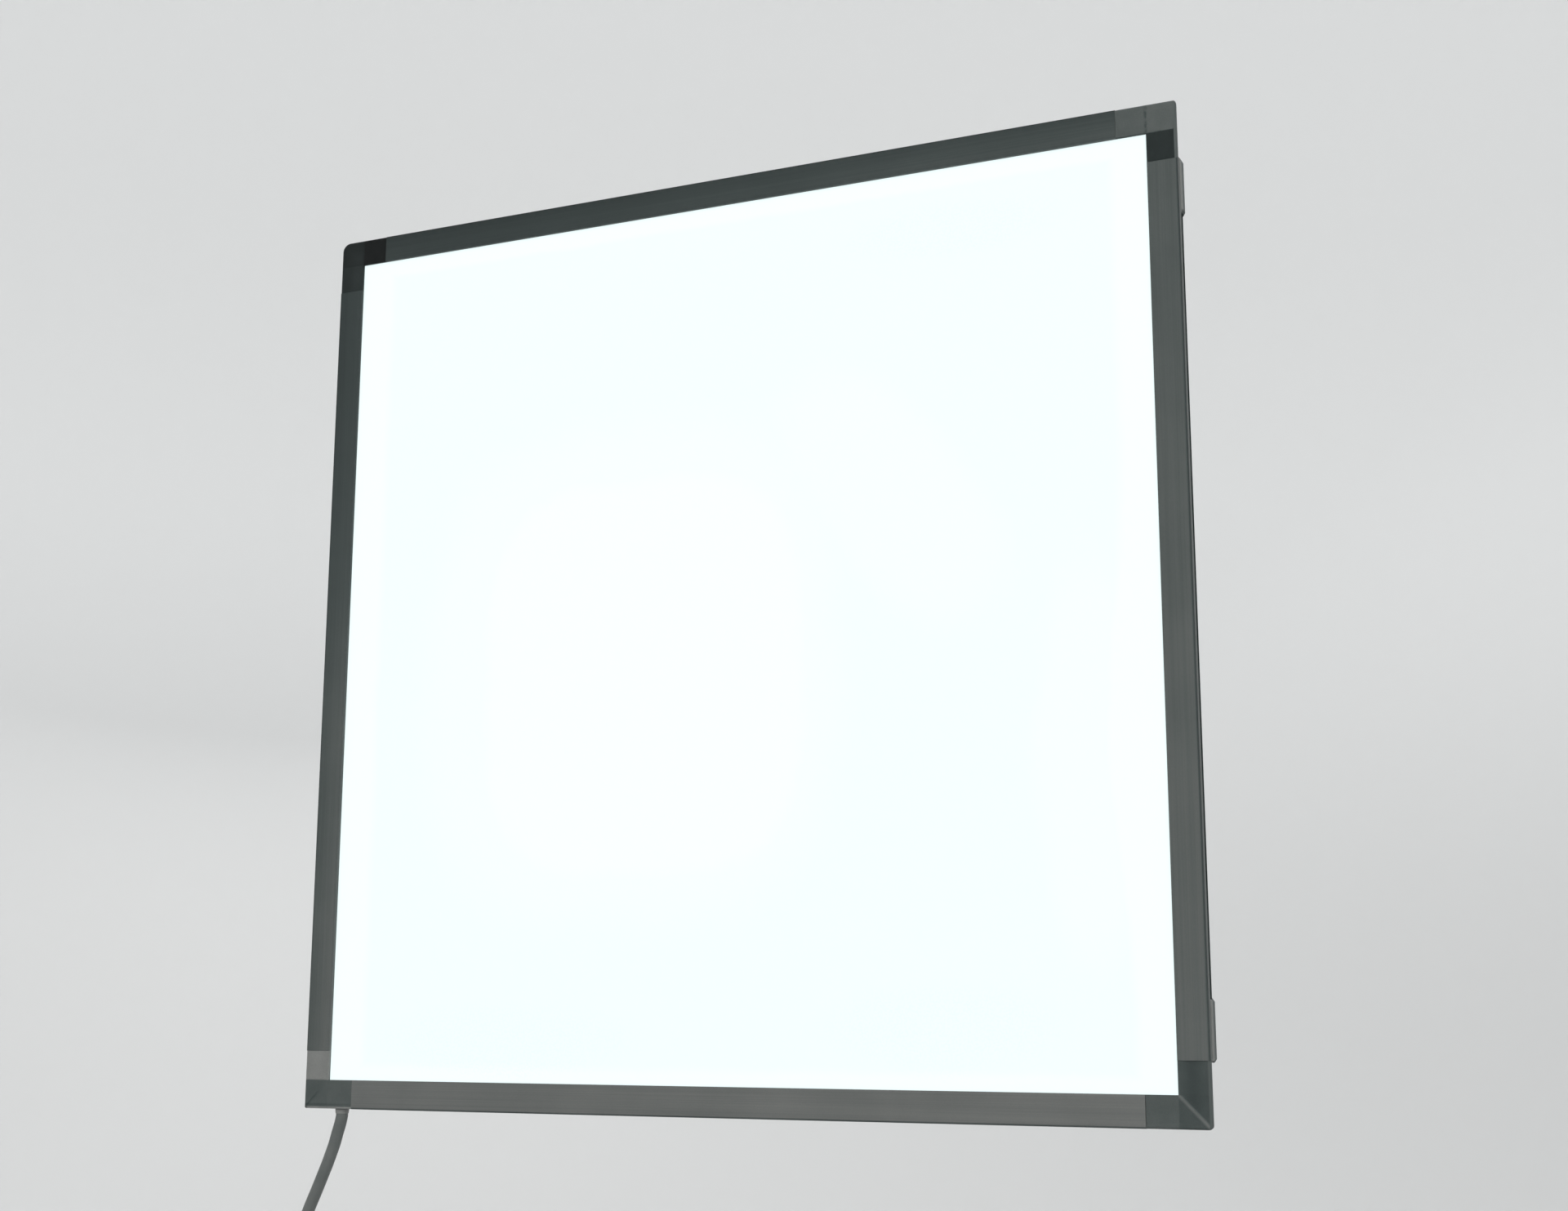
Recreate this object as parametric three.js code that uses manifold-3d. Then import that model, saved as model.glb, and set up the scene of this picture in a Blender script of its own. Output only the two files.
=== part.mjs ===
// Slim square LED panel light: an edge-lit lit face in an aluminium frame with moulded
// corner pieces, four side clips that slide in the frame, and a lead on a barrel plug.
// Millimetres. +X right, +Y to the rear, +Z up, seen from the lit front.
// The origin is the centre of the back cover's outer face; the front is at y = -DEPTH.
import * as THREE from "three";
import { mergeVertices } from "three/addons/utils/BufferGeometryUtils.js";
import Module from "manifold-3d";

const wasm = await Module();
wasm.setup();

// Driving dimensions
const LIT = 305; // side of the lit square
const FRAME_FACE = 10; // width of the frame's front face
const DEPTH = 8.4; // overall thickness
const CORNER_LEG = 20; // length of each leg of a corner piece
const HALF = LIT / 2 + FRAME_FACE; // centre to the frame's outer side
const BAR_END = HALF - CORNER_LEG; // centre to the end of a frame bar

// The frame's section is drawn in (u, d): u inwards from the outer side, d back from the front.
const LIP = 1.1; // front lip and rear flange
const CAVITY_SIDE = 2.5; // u of the cavity's outer wall
const CAVITY_BACK = 5.3; // d of the rear flange
const SEAT = CAVITY_BACK + LIP; // d of the cover's seat
const RIM = { inner: 6.0, chamfer: 0.3, d: 7.5 };
const RECESS = { u: 0.45, front: 3.0 };
const SLOT = { mouth: 1.2, u: 1.9, front: 3.2, back: 5.2, gapFront: 3.7, gapBack: 4.7 };
const CHAMBER = { u0: 3.3, u1: 5.3, d0: 5.85, d1: 6.95 };
const FRONT_ROUND = 0.6;
const SEAM = 0.1; // gap between a bar and a corner piece

const CORNER_ROUND = { bottom_left: 0.6, top_left: 3.4, top_right: 0.9, bottom_right: 1.3 };
const MITRE_GROOVE = 0.36; // side of the square that cuts the V line
const SPIGOT = { length: 15, play: 0.1 };

// What lies behind the front lip, from front to back, as [front, back] depths
const SHEETS = {
  front_diffuser: { u: 3.0, d: [1.1, 2.1] },
  diffuser_film: { u: 3.2, d: [2.12, 2.26] },
  prism_film: { u: 3.2, d: [2.28, 2.42] },
  light_guide: { u: 5.4, d: [2.45, 4.95], corner: 4 },
  reflector_sheet: { u: 5.6, d: [4.97, 5.12], corner: 4 },
  foam_pad: { u: 11.8, d: [5.15, 7.35] },
};

const COVER = { u: 6.2, plate: 1.0, rim: 5.3, corner: 1.5 };
const SCREW = { u: 8.2, places: [-110, 0, 110], shank: 0.9, head: 1.9, cone: 1.0, tip: 5.45 };
const SCREW_PLAY = 0.2;
const ROUND_SIDES = 12;

const STRIP = { half: 143.5, u0: 2.6, u1: 3.4, d: [2.6, 5.2] };
const LED = { count: 36, pitch: 7.9, length: 3.2, tall: 1.8, tip: 5.1 };
const WIRE = { d: 0.9, u: 4.3, depths: [3.1, 4.3] };

const CLIP = { length: 19, proud: 0.25, play: 0.1, front: 3.15, reach: 5.8, taper: 1.0 };
const CLIP_OVER = { bottom: 0.6, top: 1.7 }; // how far a clip's plate runs past the end of its bar
const CLIP_TONGUE = 14.6; // length of the tongue, which stays inside the bar
const RELIEF = 2.4; // length of the recess in the end of a corner piece's leg

const CORD_D = 4.3;
const CORD_X = -148.5;
const CORD_DEPTH = 3.6;
const GROMMET = { hole: 2.45, neck: 2.3, collar: 2.65, nose: 2.4, tall: 1.6, inner: 2.7, bore: 1.2 };

// The lead hangs in a plane just behind the front, and its spare length is a tied coil.
const COIL = { x: -148.2, y: -8.2, z: -240.3, mean: 25, pitch: 4.4, tieAngle: 8 };
const COIL_HALF = COIL.pitch + CORD_D / 2 + 0.05;
const TIE = { width: 10, thick: 1.0, play: 0.3 };
const PLUG = { top: -34, boot: 9, grip: 27, barrel: 9.5 };
const LEAD_ROUTE = [
  [-148.5, -4.8, -164.9],
  [-149.1, -4.8, -167.7],
  [-150.2, -4.8, -171.2],
  [-151.3, -4.7, -174.8],
  [-152.6, -4.7, -178.2],
  [-154.0, -4.6, -181.6],
  [-155.5, -4.6, -185.0],
  [-157.1, -4.5, -188.5],
  [-158.7, -4.4, -191.9],
  [-160.4, -4.3, -195.4],
  [-162.5, -4.2, -200.1],
  [-164.7, -4.1, -205.1],
  [-166.7, -4.0, -209.6],
  [-167.9, -4.0, -212.2],
];
const TAIL_ROUTE = [
  [-168.8, -17.3, -249.4],
  [-168.9, -17.3, -255.0],
  [-168.9, -17.3, -260.6],
  [-168.9, -17.3, -266.2],
  [-168.9, -17.3, -271.6],
  [-168.9, -17.3, -274.0],
];

const finish = (color, roughness, metalness) => ({ color, roughness, metalness });
const FINISH = {
  frame: finish(0x555b59, 0.42, 0.75),
  corner: finish(0x4b514f, 0.5, 0.1),
  clip: finish(0x7f8583, 0.4, 0.2),
  opal: finish(0xf6feff, 0.35, 0),
  film: finish(0xeef1f2, 0.4, 0),
  guide: finish(0xe6f2f4, 0.15, 0),
  reflector: finish(0xf4f4f2, 0.6, 0),
  foam: finish(0x2c2e2f, 0.95, 0),
  cover: finish(0x5d6361, 0.45, 0.7),
  board: finish(0xe9ece6, 0.5, 0),
  red: finish(0xa82a22, 0.5, 0),
  black: finish(0x1c1d1e, 0.5, 0),
  screw: finish(0x8d9192, 0.35, 0.9),
  cord: finish(0x5c615f, 0.55, 0),
  plug: finish(0x232526, 0.5, 0),
  nickel: finish(0xc3c6c8, 0.25, 1),
  insulator: finish(0xd9b23a, 0.5, 0),
  tie: finish(0x1f2122, 0.9, 0),
};

// Solids and meshes

// A closed geometry as a solid that can be joined and cut.
function solid(geometry) {
  const bare = geometry.clone();
  bare.deleteAttribute("normal");
  bare.deleteAttribute("uv");
  const merged = mergeVertices(bare, 1e-4);
  const vertProperties = merged.attributes.position.array;
  const triVerts = new Uint32Array(merged.index.array);
  return new wasm.Manifold(new wasm.Mesh({ numProp: 3, vertProperties, triVerts }));
}

function surface(shape) {
  const mesh = shape.getMesh();
  const geometry = new THREE.BufferGeometry();
  geometry.setAttribute("position", new THREE.BufferAttribute(mesh.vertProperties, 3));
  geometry.setIndex(new THREE.BufferAttribute(mesh.triVerts, 1));
  geometry.computeVertexNormals();
  return geometry;
}

function cut(geometry, ...tools) {
  return surface(tools.reduce((body, tool) => body.subtract(solid(tool)), solid(geometry)));
}

function join(geometry, ...others) {
  return surface(others.reduce((body, other) => body.add(solid(other)), solid(geometry)));
}

function part(name, geometry, look) {
  const mesh = new THREE.Mesh(geometry, new THREE.MeshStandardMaterial(look));
  mesh.name = name;
  return mesh;
}

// Outlines and extrusions

function outline(points) {
  return new THREE.Shape(points.map(([a, b]) => new THREE.Vector2(a, b)));
}

function roundedSquare(half, radius) {
  const shape = new THREE.Shape();
  const flat = half - radius;
  shape.moveTo(-flat, -half);
  shape.absarc(flat, -flat, radius, -Math.PI / 2, 0, false);
  shape.absarc(flat, flat, radius, 0, Math.PI / 2, false);
  shape.absarc(-flat, flat, radius, Math.PI / 2, Math.PI, false);
  shape.absarc(-flat, -flat, radius, Math.PI, Math.PI * 1.5, false);
  return shape;
}

function extrude(shape, depth) {
  return new THREE.ExtrudeGeometry(shape, { depth, bevelEnabled: false, curveSegments: 4 });
}

// A plate between two depths, its outline drawn in (x, z).
function plate(shape, [front, back]) {
  return extrude(shape, back - front).rotateX(Math.PI / 2).translate(0, back - DEPTH, 0);
}

// A section in (u, d) along the bottom of the frame, from x0 to x1.
function barAlongX(section, x0, x1) {
  const shape = outline(section.map(([u, d]) => [d - DEPTH, u - HALF]));
  const axes = new THREE.Matrix4().makeBasis(
    new THREE.Vector3(0, 1, 0),
    new THREE.Vector3(0, 0, 1),
    new THREE.Vector3(1, 0, 0),
  );
  return extrude(shape, x1 - x0).applyMatrix4(axes).translate(x0, 0, 0);
}

// The same section along the left side of the frame, from z0 to z1.
function barAlongZ(section, z0, z1) {
  const shape = outline(section.map(([u, d]) => [u - HALF, d - DEPTH]));
  return extrude(shape, z1 - z0).translate(0, 0, z0);
}

function box(x, y, z) {
  return new THREE.BoxGeometry(x[1] - x[0], y[1] - y[0], z[1] - z[0]).translate(
    (x[0] + x[1]) / 2,
    (y[0] + y[1]) / 2,
    (z[0] + z[1]) / 2,
  );
}

// A turned piece on the y axis: [radius, y] from the lowest y up the outside.
function turned(profile, sides = ROUND_SIDES) {
  return new THREE.LatheGeometry(profile.map(([r, y]) => new THREE.Vector2(r, y)), sides);
}

// The same, standing on the z axis at (x, y).
function turnedUpright(profile, x, y, sides) {
  return turned(profile, sides).rotateX(Math.PI / 2).translate(x, y, 0);
}

function tube(points, diameter, sides, steps) {
  const path = new THREE.CatmullRomCurve3(points.map((p) => new THREE.Vector3(...p)));
  const ring = [];
  for (let i = 0; i < sides; i += 1) {
    const angle = (i / sides) * Math.PI * 2;
    ring.push([(Math.cos(angle) * diameter) / 2, (Math.sin(angle) * diameter) / 2]);
  }
  return new THREE.ExtrudeGeometry(outline(ring), { steps, extrudePath: path });
}

// Frame bars and corner pieces

function frontRound(u, radius, steps = 3) {
  const points = [];
  for (let i = 0; i <= steps; i += 1) {
    const angle = (i / steps) * (Math.PI / 2);
    points.push([u + radius - radius * Math.cos(angle), radius - radius * Math.sin(angle)]);
  }
  return points;
}

// The inside of the section is the same in a bar and in a corner piece.
const INSIDE = [
  [FRAME_FACE, 0],
  [FRAME_FACE, LIP],
  [CAVITY_SIDE, LIP],
  [CAVITY_SIDE, CAVITY_BACK],
  [FRAME_FACE, CAVITY_BACK],
  [FRAME_FACE, SEAT],
  [RIM.inner, SEAT],
  [RIM.inner, RIM.d],
];

const BAR_SECTION = [
  ...frontRound(0, FRONT_ROUND),
  ...INSIDE,
  [RECESS.u + RIM.chamfer, RIM.d],
  [RECESS.u, RIM.d - RIM.chamfer],
  [RECESS.u, SLOT.gapBack],
  [SLOT.mouth, SLOT.gapBack],
  [SLOT.mouth, SLOT.back],
  [SLOT.u, SLOT.back],
  [SLOT.u, SLOT.front],
  [SLOT.mouth, SLOT.front],
  [SLOT.mouth, SLOT.gapFront],
  [RECESS.u, SLOT.gapFront],
  [RECESS.u, RECESS.front],
  [0, RECESS.front],
];

// A corner piece is moulded with a soft outer side that falls away to the rear.
const CORNER_SECTION = [
  ...frontRound(0.2, 0.8),
  ...INSIDE,
  [3.4, RIM.d],
  [2.6, 7.1],
  [1.7, 6.2],
  [1.0, 5.1],
  [0.5, 3.9],
  [0.25, 2.7],
];

function screwHole(u, x, from, to, radius) {
  return turned([[0, from], [radius, from], [radius, to], [0, to]]).translate(x, 0, u - HALF);
}

function frameBar() {
  const { u0, u1, d0, d1 } = CHAMBER;
  const bar = barAlongX(BAR_SECTION, SEAM - BAR_END, BAR_END - SEAM);
  const chamber = box([-HALF, HALF], [d0 - DEPTH, d1 - DEPTH], [u0 - HALF, u1 - HALF]);
  const radius = SCREW.shank + SCREW_PLAY;
  const holes = SCREW.places.map((x) =>
    screwHole(SCREW.u, x, CAVITY_BACK - 1 - DEPTH, SEAT + 1 - DEPTH, radius),
  );
  return cut(bar, chamber, ...holes);
}

// The end of a leg at the outer corner is cut at 45 degrees.
function mitre(geometry, along, across) {
  const position = geometry.attributes.position;
  for (let i = 0; i < position.count; i += 1) {
    const atEnd = Math.abs(position.getComponent(i, along) + HALF) < SEAM;
    if (atEnd) position.setComponent(i, along, position.getComponent(i, across));
  }
  return geometry;
}

function spigotSection() {
  const { u0, u1, d0, d1 } = CHAMBER;
  const play = SPIGOT.play;
  return [
    [u0 + play, d0 + play],
    [u1 - play, d0 + play],
    [u1 - play, d1 - play],
    [u0 + play, d1 - play],
  ];
}

// A corner piece, drawn where the lower left one is, seen from the front.
function cornerPiece(round, hasCord) {
  const bottomLeg = mitre(barAlongX(CORNER_SECTION, -HALF, -BAR_END), 0, 2);
  const sideLeg = mitre(barAlongZ(CORNER_SECTION, -HALF, -BAR_END), 2, 0);
  const start = -BAR_END - 1;
  const end = -BAR_END + SPIGOT.length;
  const piece = join(
    bottomLeg,
    sideLeg,
    barAlongX(spigotSection(), start, end),
    barAlongZ(spigotSection(), start, end),
  );

  const outside = new THREE.Shape();
  outside.moveTo(-HALF - 1, -HALF - 1);
  outside.lineTo(-HALF + round, -HALF - 1);
  outside.lineTo(-HALF + round, -HALF);
  outside.absarc(-HALF + round, -HALF + round, round, -Math.PI / 2, -Math.PI, true);
  outside.lineTo(-HALF - 1, -HALF + round);
  const trim = plate(outside, [-1, DEPTH + 1]);

  const grooveLength = FRAME_FACE * 1.9;
  const groove = new THREE.BoxGeometry(grooveLength, MITRE_GROOVE, MITRE_GROOVE)
    .rotateX(Math.PI / 4)
    .rotateY(-Math.PI / 4)
    .translate(FRAME_FACE / 2 - HALF, -DEPTH, FRAME_FACE / 2 - HALF);
  const recess = [
    [-1, RECESS.front],
    [RECESS.u, RECESS.front],
    [RECESS.u, DEPTH],
    [-1, DEPTH],
  ];
  const reliefs = [barAlongX, barAlongZ].map((bar) => bar(recess, -BAR_END - RELIEF, 1 - BAR_END));
  if (!hasCord) return cut(piece, trim, groove, ...reliefs);

  const { hole, inner } = GROMMET;
  const low = -HALF - 1;
  const high = inner + 0.3 - HALF;
  const profile = [[0, low], [hole, low], [hole, high], [0, high]];
  const cordHole = turnedUpright(profile, CORD_X, CORD_DEPTH - DEPTH, 16);
  return cut(piece, trim, groove, ...reliefs, cordHole);
}

// Side clip: a plate in the side recess, a T tongue in the slot and a foot behind the rim. The
// plate and the foot run past the tongue at both ends.

function clipGeometry() {
  const { proud, play, front, reach, length, taper } = CLIP;
  const face = RECESS.u - play;
  const foot = RIM.d + play;
  const section = [
    [-proud, front + 0.45],
    [0.1, front],
    [face, front],
    [face, SLOT.gapFront + play],
    [SLOT.mouth + play, SLOT.gapFront + play],
    [SLOT.mouth + play, SLOT.front + play],
    [SLOT.u - play, SLOT.front + play],
    [SLOT.u - play, SLOT.back - play],
    [SLOT.mouth + play, SLOT.back - play],
    [SLOT.mouth + play, SLOT.gapBack - play],
    [face, SLOT.gapBack - play],
    [face, foot],
    [reach, foot],
    [reach, DEPTH],
    [0.4, DEPTH],
    [-proud, DEPTH - 0.65],
  ];
  const half = length / 2;
  const inner = reach + 1 - HALF;
  const outer = -proud - HALF;
  const plan = outline([
    [-half, inner],
    [-half, outer + 0.9],
    [taper - half, outer],
    [half - taper, outer],
    [half, outer + 0.9],
    [half, inner],
  ]);
  const blank = solid(barAlongX(section, -half, half));
  const clip = surface(blank.intersect(solid(plate(plan, [-1, DEPTH + 1]))));
  const beyond = [
    [-half - 1, -CLIP_TONGUE / 2],
    [CLIP_TONGUE / 2, half + 1],
  ].map((span) => box(span, [SLOT.front - DEPTH, SLOT.back - DEPTH], [face - HALF, SLOT.u - HALF]));
  return cut(clip, ...beyond);
}

// Back cover: a tray whose thick rim rests on the frame's rear flange.

function coverGeometry() {
  const half = HALF - COVER.u;
  const cover = plate(roundedSquare(half, COVER.corner), [SEAT, DEPTH]);
  const pocket = plate(roundedSquare(half - COVER.rim, COVER.corner), [SEAT - 1, DEPTH - COVER.plate]);
  const shank = SCREW.shank + SCREW_PLAY;
  const head = SCREW.head + SCREW_PLAY;
  const holes = [];
  for (let side = 0; side < 4; side += 1) {
    for (const x of SCREW.places) {
      const profile = [[0, SEAT - 1 - DEPTH], [shank, SEAT - 1 - DEPTH], [shank, -SCREW.cone], [head, 0]];
      profile.push([head, 1], [0, 1]);
      const hole = turned(profile).translate(x, 0, SCREW.u - HALF);
      holes.push(hole.rotateY((side * Math.PI) / 2));
    }
  }
  return cut(cover, pocket, ...holes);
}

function screwGeometry() {
  const { shank, head, cone, tip } = SCREW;
  const body = turned([[0, tip - DEPTH], [shank, tip - DEPTH], [shank, -cone], [head, 0], [0, 0]]);
  const socket = turned([[0, -0.8], [0.75, -0.8], [0.75, 1], [0, 1]], 6);
  return cut(body, socket);
}

// LED strip: a narrow board on its edge, with a row of LEDs that face inwards.

function stripGeometry() {
  const [front, back] = STRIP.d;
  const tip = LED.tip;
  const centre = (front + back) / 2;
  const y = [front - DEPTH, back - DEPTH];
  const z = [STRIP.u0 - HALF, STRIP.u1 - HALF];
  const leds = [];
  for (let i = 0; i < LED.count; i += 1) {
    const x = (i - (LED.count - 1) / 2) * LED.pitch;
    const across = [centre - LED.tall / 2 - DEPTH, centre + LED.tall / 2 - DEPTH];
    leds.push(box([x - LED.length / 2, x + LED.length / 2], across, [STRIP.u1 - 0.2 - HALF, tip - HALF]));
  }
  return join(box([-STRIP.half, STRIP.half], y, z), ...leds);
}

// Hook-up wires inside the frame

function leadWire(depth) {
  const y = depth - DEPTH;
  const start = GROMMET.inner + 0.3 - HALF;
  const route = [
    [CORD_X, y, start],
    [CORD_X + 0.4, y, start + 0.7],
    [CORD_X + 1.4, y, WIRE.u + 0.2 - HALF],
    [CORD_X + 3.0, y, WIRE.u + 0.1 - HALF],
    [-STRIP.half - 0.3, y, WIRE.u - HALF],
  ];
  return tube(route, WIRE.d, 6, 10);
}

// From the right-hand end of the lower strip up to that of the upper strip.
function jumperWire(depth) {
  const y = depth - DEPTH;
  const edge = HALF - WIRE.u;
  const start = STRIP.half + 0.3;
  const lower = [
    [start, y, -edge],
    [start + 8, y, -edge],
    [edge - 1.6, y, -edge - 0.2],
    [edge - 0.1, y, -edge + 0.1],
    [edge + 0.2, y, -edge + 1.6],
    [edge, y, -edge + 8],
    [edge, y, -edge + 60],
  ];
  const upper = lower.map(([x, , z]) => [x, y, -z]).reverse();
  return tube([...lower, ...upper], WIRE.d, 6, 60);
}

// Cord, coil, tie and plug

function grommetGeometry() {
  const { neck, collar, nose, tall, inner, bore } = GROMMET;
  const wall = -HALF - 0.05;
  const profile = [
    [bore, wall - tall],
    [nose, wall - tall],
    [collar, wall - 0.3],
    [collar, wall],
    [neck, wall],
    [neck, inner - HALF],
    [bore, inner - HALF],
    [bore, wall - tall],
  ];
  return turnedUpright(profile, CORD_X, CORD_DEPTH - DEPTH, 16);
}

function coilGeometry() {
  const inner = COIL.mean - COIL_HALF;
  const outer = COIL.mean + COIL_HALF;
  const side = COIL_HALF - 1.6;
  const profile = [
    [inner, -side],
    [inner + 1.6, -COIL_HALF],
    [outer - 1.6, -COIL_HALF],
    [outer, -side],
    [outer, side],
    [outer - 1.6, COIL_HALF],
    [inner + 1.6, COIL_HALF],
    [inner, side],
    [inner, -side],
  ];
  return turned(profile, 36).translate(COIL.x, COIL.y, COIL.z);
}

// The strap goes round all the turns, just below the place where the lead joins them.
function tieMesh() {
  const { width, thick, play } = TIE;
  const half = width / 2;
  const inner = Math.sqrt((COIL.mean - COIL_HALF) ** 2 - half ** 2) - play;
  const outer = COIL.mean + COIL_HALF + play;
  const deep = COIL_HALF + play;
  const band = box([-outer - thick, -inner + thick], [-deep - thick, deep + thick], [-half, half]);
  const hole = box([-outer, -inner], [-deep, deep], [-width, width]);
  const mesh = part("cable_tie", cut(band, hole), FINISH.tie);
  mesh.position.set(COIL.x, COIL.y, COIL.z);
  mesh.rotation.y = THREE.MathUtils.degToRad(COIL.tieAngle);
  return mesh;
}

function plugParts() {
  const [x, y] = TAIL_ROUTE[TAIL_ROUTE.length - 1];
  const top = COIL.z + PLUG.top;
  const face = top - PLUG.grip;
  const tip = face - PLUG.barrel;
  const body = [
    [0, face],
    [3.9, face],
    [4.5, face + 0.8],
    [4.5, top - PLUG.boot - 1.4],
    [3.4, top - PLUG.boot],
    [2.7, top],
    [0, top],
  ];
  const barrel = [[2.3, tip], [2.75, tip], [2.75, face], [2.3, face], [2.3, tip]];
  const insulator = [
    [1.05, tip + 0.2],
    [2.15, tip + 0.2],
    [2.15, face - 0.2],
    [1.05, face - 0.2],
    [1.05, tip + 0.2],
  ];
  return [
    part("plug_body", turnedUpright(body, x, y, 16), FINISH.plug),
    part("plug_barrel", turnedUpright(barrel, x, y, 16), FINISH.nickel),
    part("plug_insulator", turnedUpright(insulator, x, y, 16), FINISH.insulator),
  ];
}

// Assembly

const panel = new THREE.Group();
const bar = frameBar();
const clip = clipGeometry();
const screw = screwGeometry();
const strip = stripGeometry();

// Each side is the bottom one turned about y; along it, +x becomes the given direction.
const SIDES = [
  { name: "bottom", corner: "bottom_left", ends: ["left", "right"] },
  { name: "left", corner: "top_left", ends: ["top", "bottom"] },
  { name: "top", corner: "top_right", ends: ["right", "left"] },
  { name: "right", corner: "bottom_right", ends: ["bottom", "top"] },
];

SIDES.forEach(({ name, corner, ends }, turn) => {
  const side = new THREE.Group();
  side.rotation.y = (turn * Math.PI) / 2;
  const level = turn % 2 === 0;
  side.add(part(`frame_${name}`, bar, FINISH.frame));
  side.add(part(`corner_${corner}`, cornerPiece(CORNER_ROUND[corner], turn === 0), FINISH.corner));
  if (level) side.add(part(`led_strip_${name}`, strip, FINISH.board));
  SCREW.places.forEach((x, i) => {
    const mesh = part(`cover_screw_${name}_${i + 1}`, screw, FINISH.screw);
    mesh.position.set(x, 0, SCREW.u - HALF);
    side.add(mesh);
  });
  if (!level) {
    ends.forEach((end, i) => {
      const mesh = part(`side_clip_${name}_${end}`, clip, FINISH.clip);
      mesh.position.x = (i === 0 ? -1 : 1) * (BAR_END + CLIP_OVER[end] - CLIP.length / 2);
      side.add(mesh);
    });
  }
  panel.add(side);
});

const SHEET_FINISH = {
  front_diffuser: FINISH.opal,
  diffuser_film: FINISH.film,
  prism_film: FINISH.film,
  light_guide: FINISH.guide,
  reflector_sheet: FINISH.reflector,
  foam_pad: FINISH.foam,
};
for (const [name, { u, d, corner = 0.5 }] of Object.entries(SHEETS)) {
  panel.add(part(name, plate(roundedSquare(HALF - u, corner), d), SHEET_FINISH[name]));
}
panel.add(part("back_cover", coverGeometry(), FINISH.cover));

WIRE.depths.forEach((depth, i) => {
  const polarity = ["positive", "negative"][i];
  const look = [FINISH.red, FINISH.black][i];
  panel.add(part(`lead_wire_${polarity}`, leadWire(depth), look));
  panel.add(part(`jumper_wire_${polarity}`, jumperWire(depth), look));
});

panel.add(part("cable_grommet", grommetGeometry(), FINISH.cord));
panel.add(part("cord_lead", tube(LEAD_ROUTE, CORD_D, 10, 12), FINISH.cord));
panel.add(part("cord_coil", coilGeometry(), FINISH.cord));
panel.add(part("cord_tail", tube(TAIL_ROUTE, CORD_D, 10, 4), FINISH.cord));
panel.add(tieMesh());
panel.add(...plugParts());

export default panel;
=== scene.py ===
"""A slim LED panel light: what shows of it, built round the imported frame.

Metres in the row frame, but for material graphs, profiles and the values that say millimetres.
"""

import math
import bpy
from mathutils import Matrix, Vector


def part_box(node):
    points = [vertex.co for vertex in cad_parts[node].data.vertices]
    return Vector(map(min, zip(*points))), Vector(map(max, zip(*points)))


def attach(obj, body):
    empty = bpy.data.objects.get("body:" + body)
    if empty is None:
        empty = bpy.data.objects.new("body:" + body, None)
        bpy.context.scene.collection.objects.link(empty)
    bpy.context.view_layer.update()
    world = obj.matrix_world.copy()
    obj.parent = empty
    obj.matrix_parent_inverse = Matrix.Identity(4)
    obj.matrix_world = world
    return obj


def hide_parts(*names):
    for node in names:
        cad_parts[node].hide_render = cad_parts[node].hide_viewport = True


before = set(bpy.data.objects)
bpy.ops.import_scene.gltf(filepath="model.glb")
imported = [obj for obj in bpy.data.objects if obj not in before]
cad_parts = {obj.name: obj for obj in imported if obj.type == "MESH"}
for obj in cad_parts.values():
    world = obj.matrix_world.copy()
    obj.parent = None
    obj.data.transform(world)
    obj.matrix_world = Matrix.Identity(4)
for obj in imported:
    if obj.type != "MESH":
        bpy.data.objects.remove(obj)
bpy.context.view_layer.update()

from types import SimpleNamespace

import bmesh
import bpy
from mathutils import Matrix, Vector

MM = 0.001
BODY = "panel"
SIDES = ("bottom", "left", "top", "right")

# Places taken from the frame
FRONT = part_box("frame_top")[0].y
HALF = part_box("frame_top")[1].z
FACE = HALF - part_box("frame_top")[0].z
BAR_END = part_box("frame_top")[1].x
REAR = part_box("back_cover")[1].y
COIL_CENTRE = (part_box("cord_coil")[0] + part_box("cord_coil")[1]) / 2
PLUG_LOW, PLUG_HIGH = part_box("plug_body")
BARREL_LOW, BARREL_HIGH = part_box("plug_barrel")

# Half the frame's outer side, and half the lit side, in millimetres
OUTER = HALF / MM
LIT = (HALF - FACE) / MM

# The camera looks up at the panel from the right of its middle.
CAMERA = Vector((0.2990, FRONT - 0.6241, -0.1280))
AIM = Vector((0.0242, FRONT, 0.0057))
CAMERA_ROLL = math.radians(0.11)
LENS = 47.43
SENSOR = 36

# Studio: a round floor that curves up into a wall, and three soft lamps
WORLD_COLOUR = (0.97, 0.98, 0.985, 1)
FLOOR_Z = -0.36
FLOOR_FLAT = 1.7
FLOOR_FILLET = 1.8
FLOOR_STEPS = 24
WALL_TOP = 3.4
PAPER_TINT = (1.0, 1.006, 1.006)
LIGHTS = [
    # name, place, aim, size, power, colour
    ("key", (1.5, -2.0, 1.35), (0.0, 0.0, -0.05), 1.2, 33.0, (1.0, 0.99, 0.97)),
    ("fill", (-1.9, -1.7, 1.4), (0.0, 0.0, 0.0), 1.4, 7.0, (0.95, 0.98, 1.0)),
    ("rear", (-1.6, 2.0, 1.4), (0.0, 0.0, 0.0), 1.3, 13.0, (1.0, 0.99, 0.98)),
]

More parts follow.
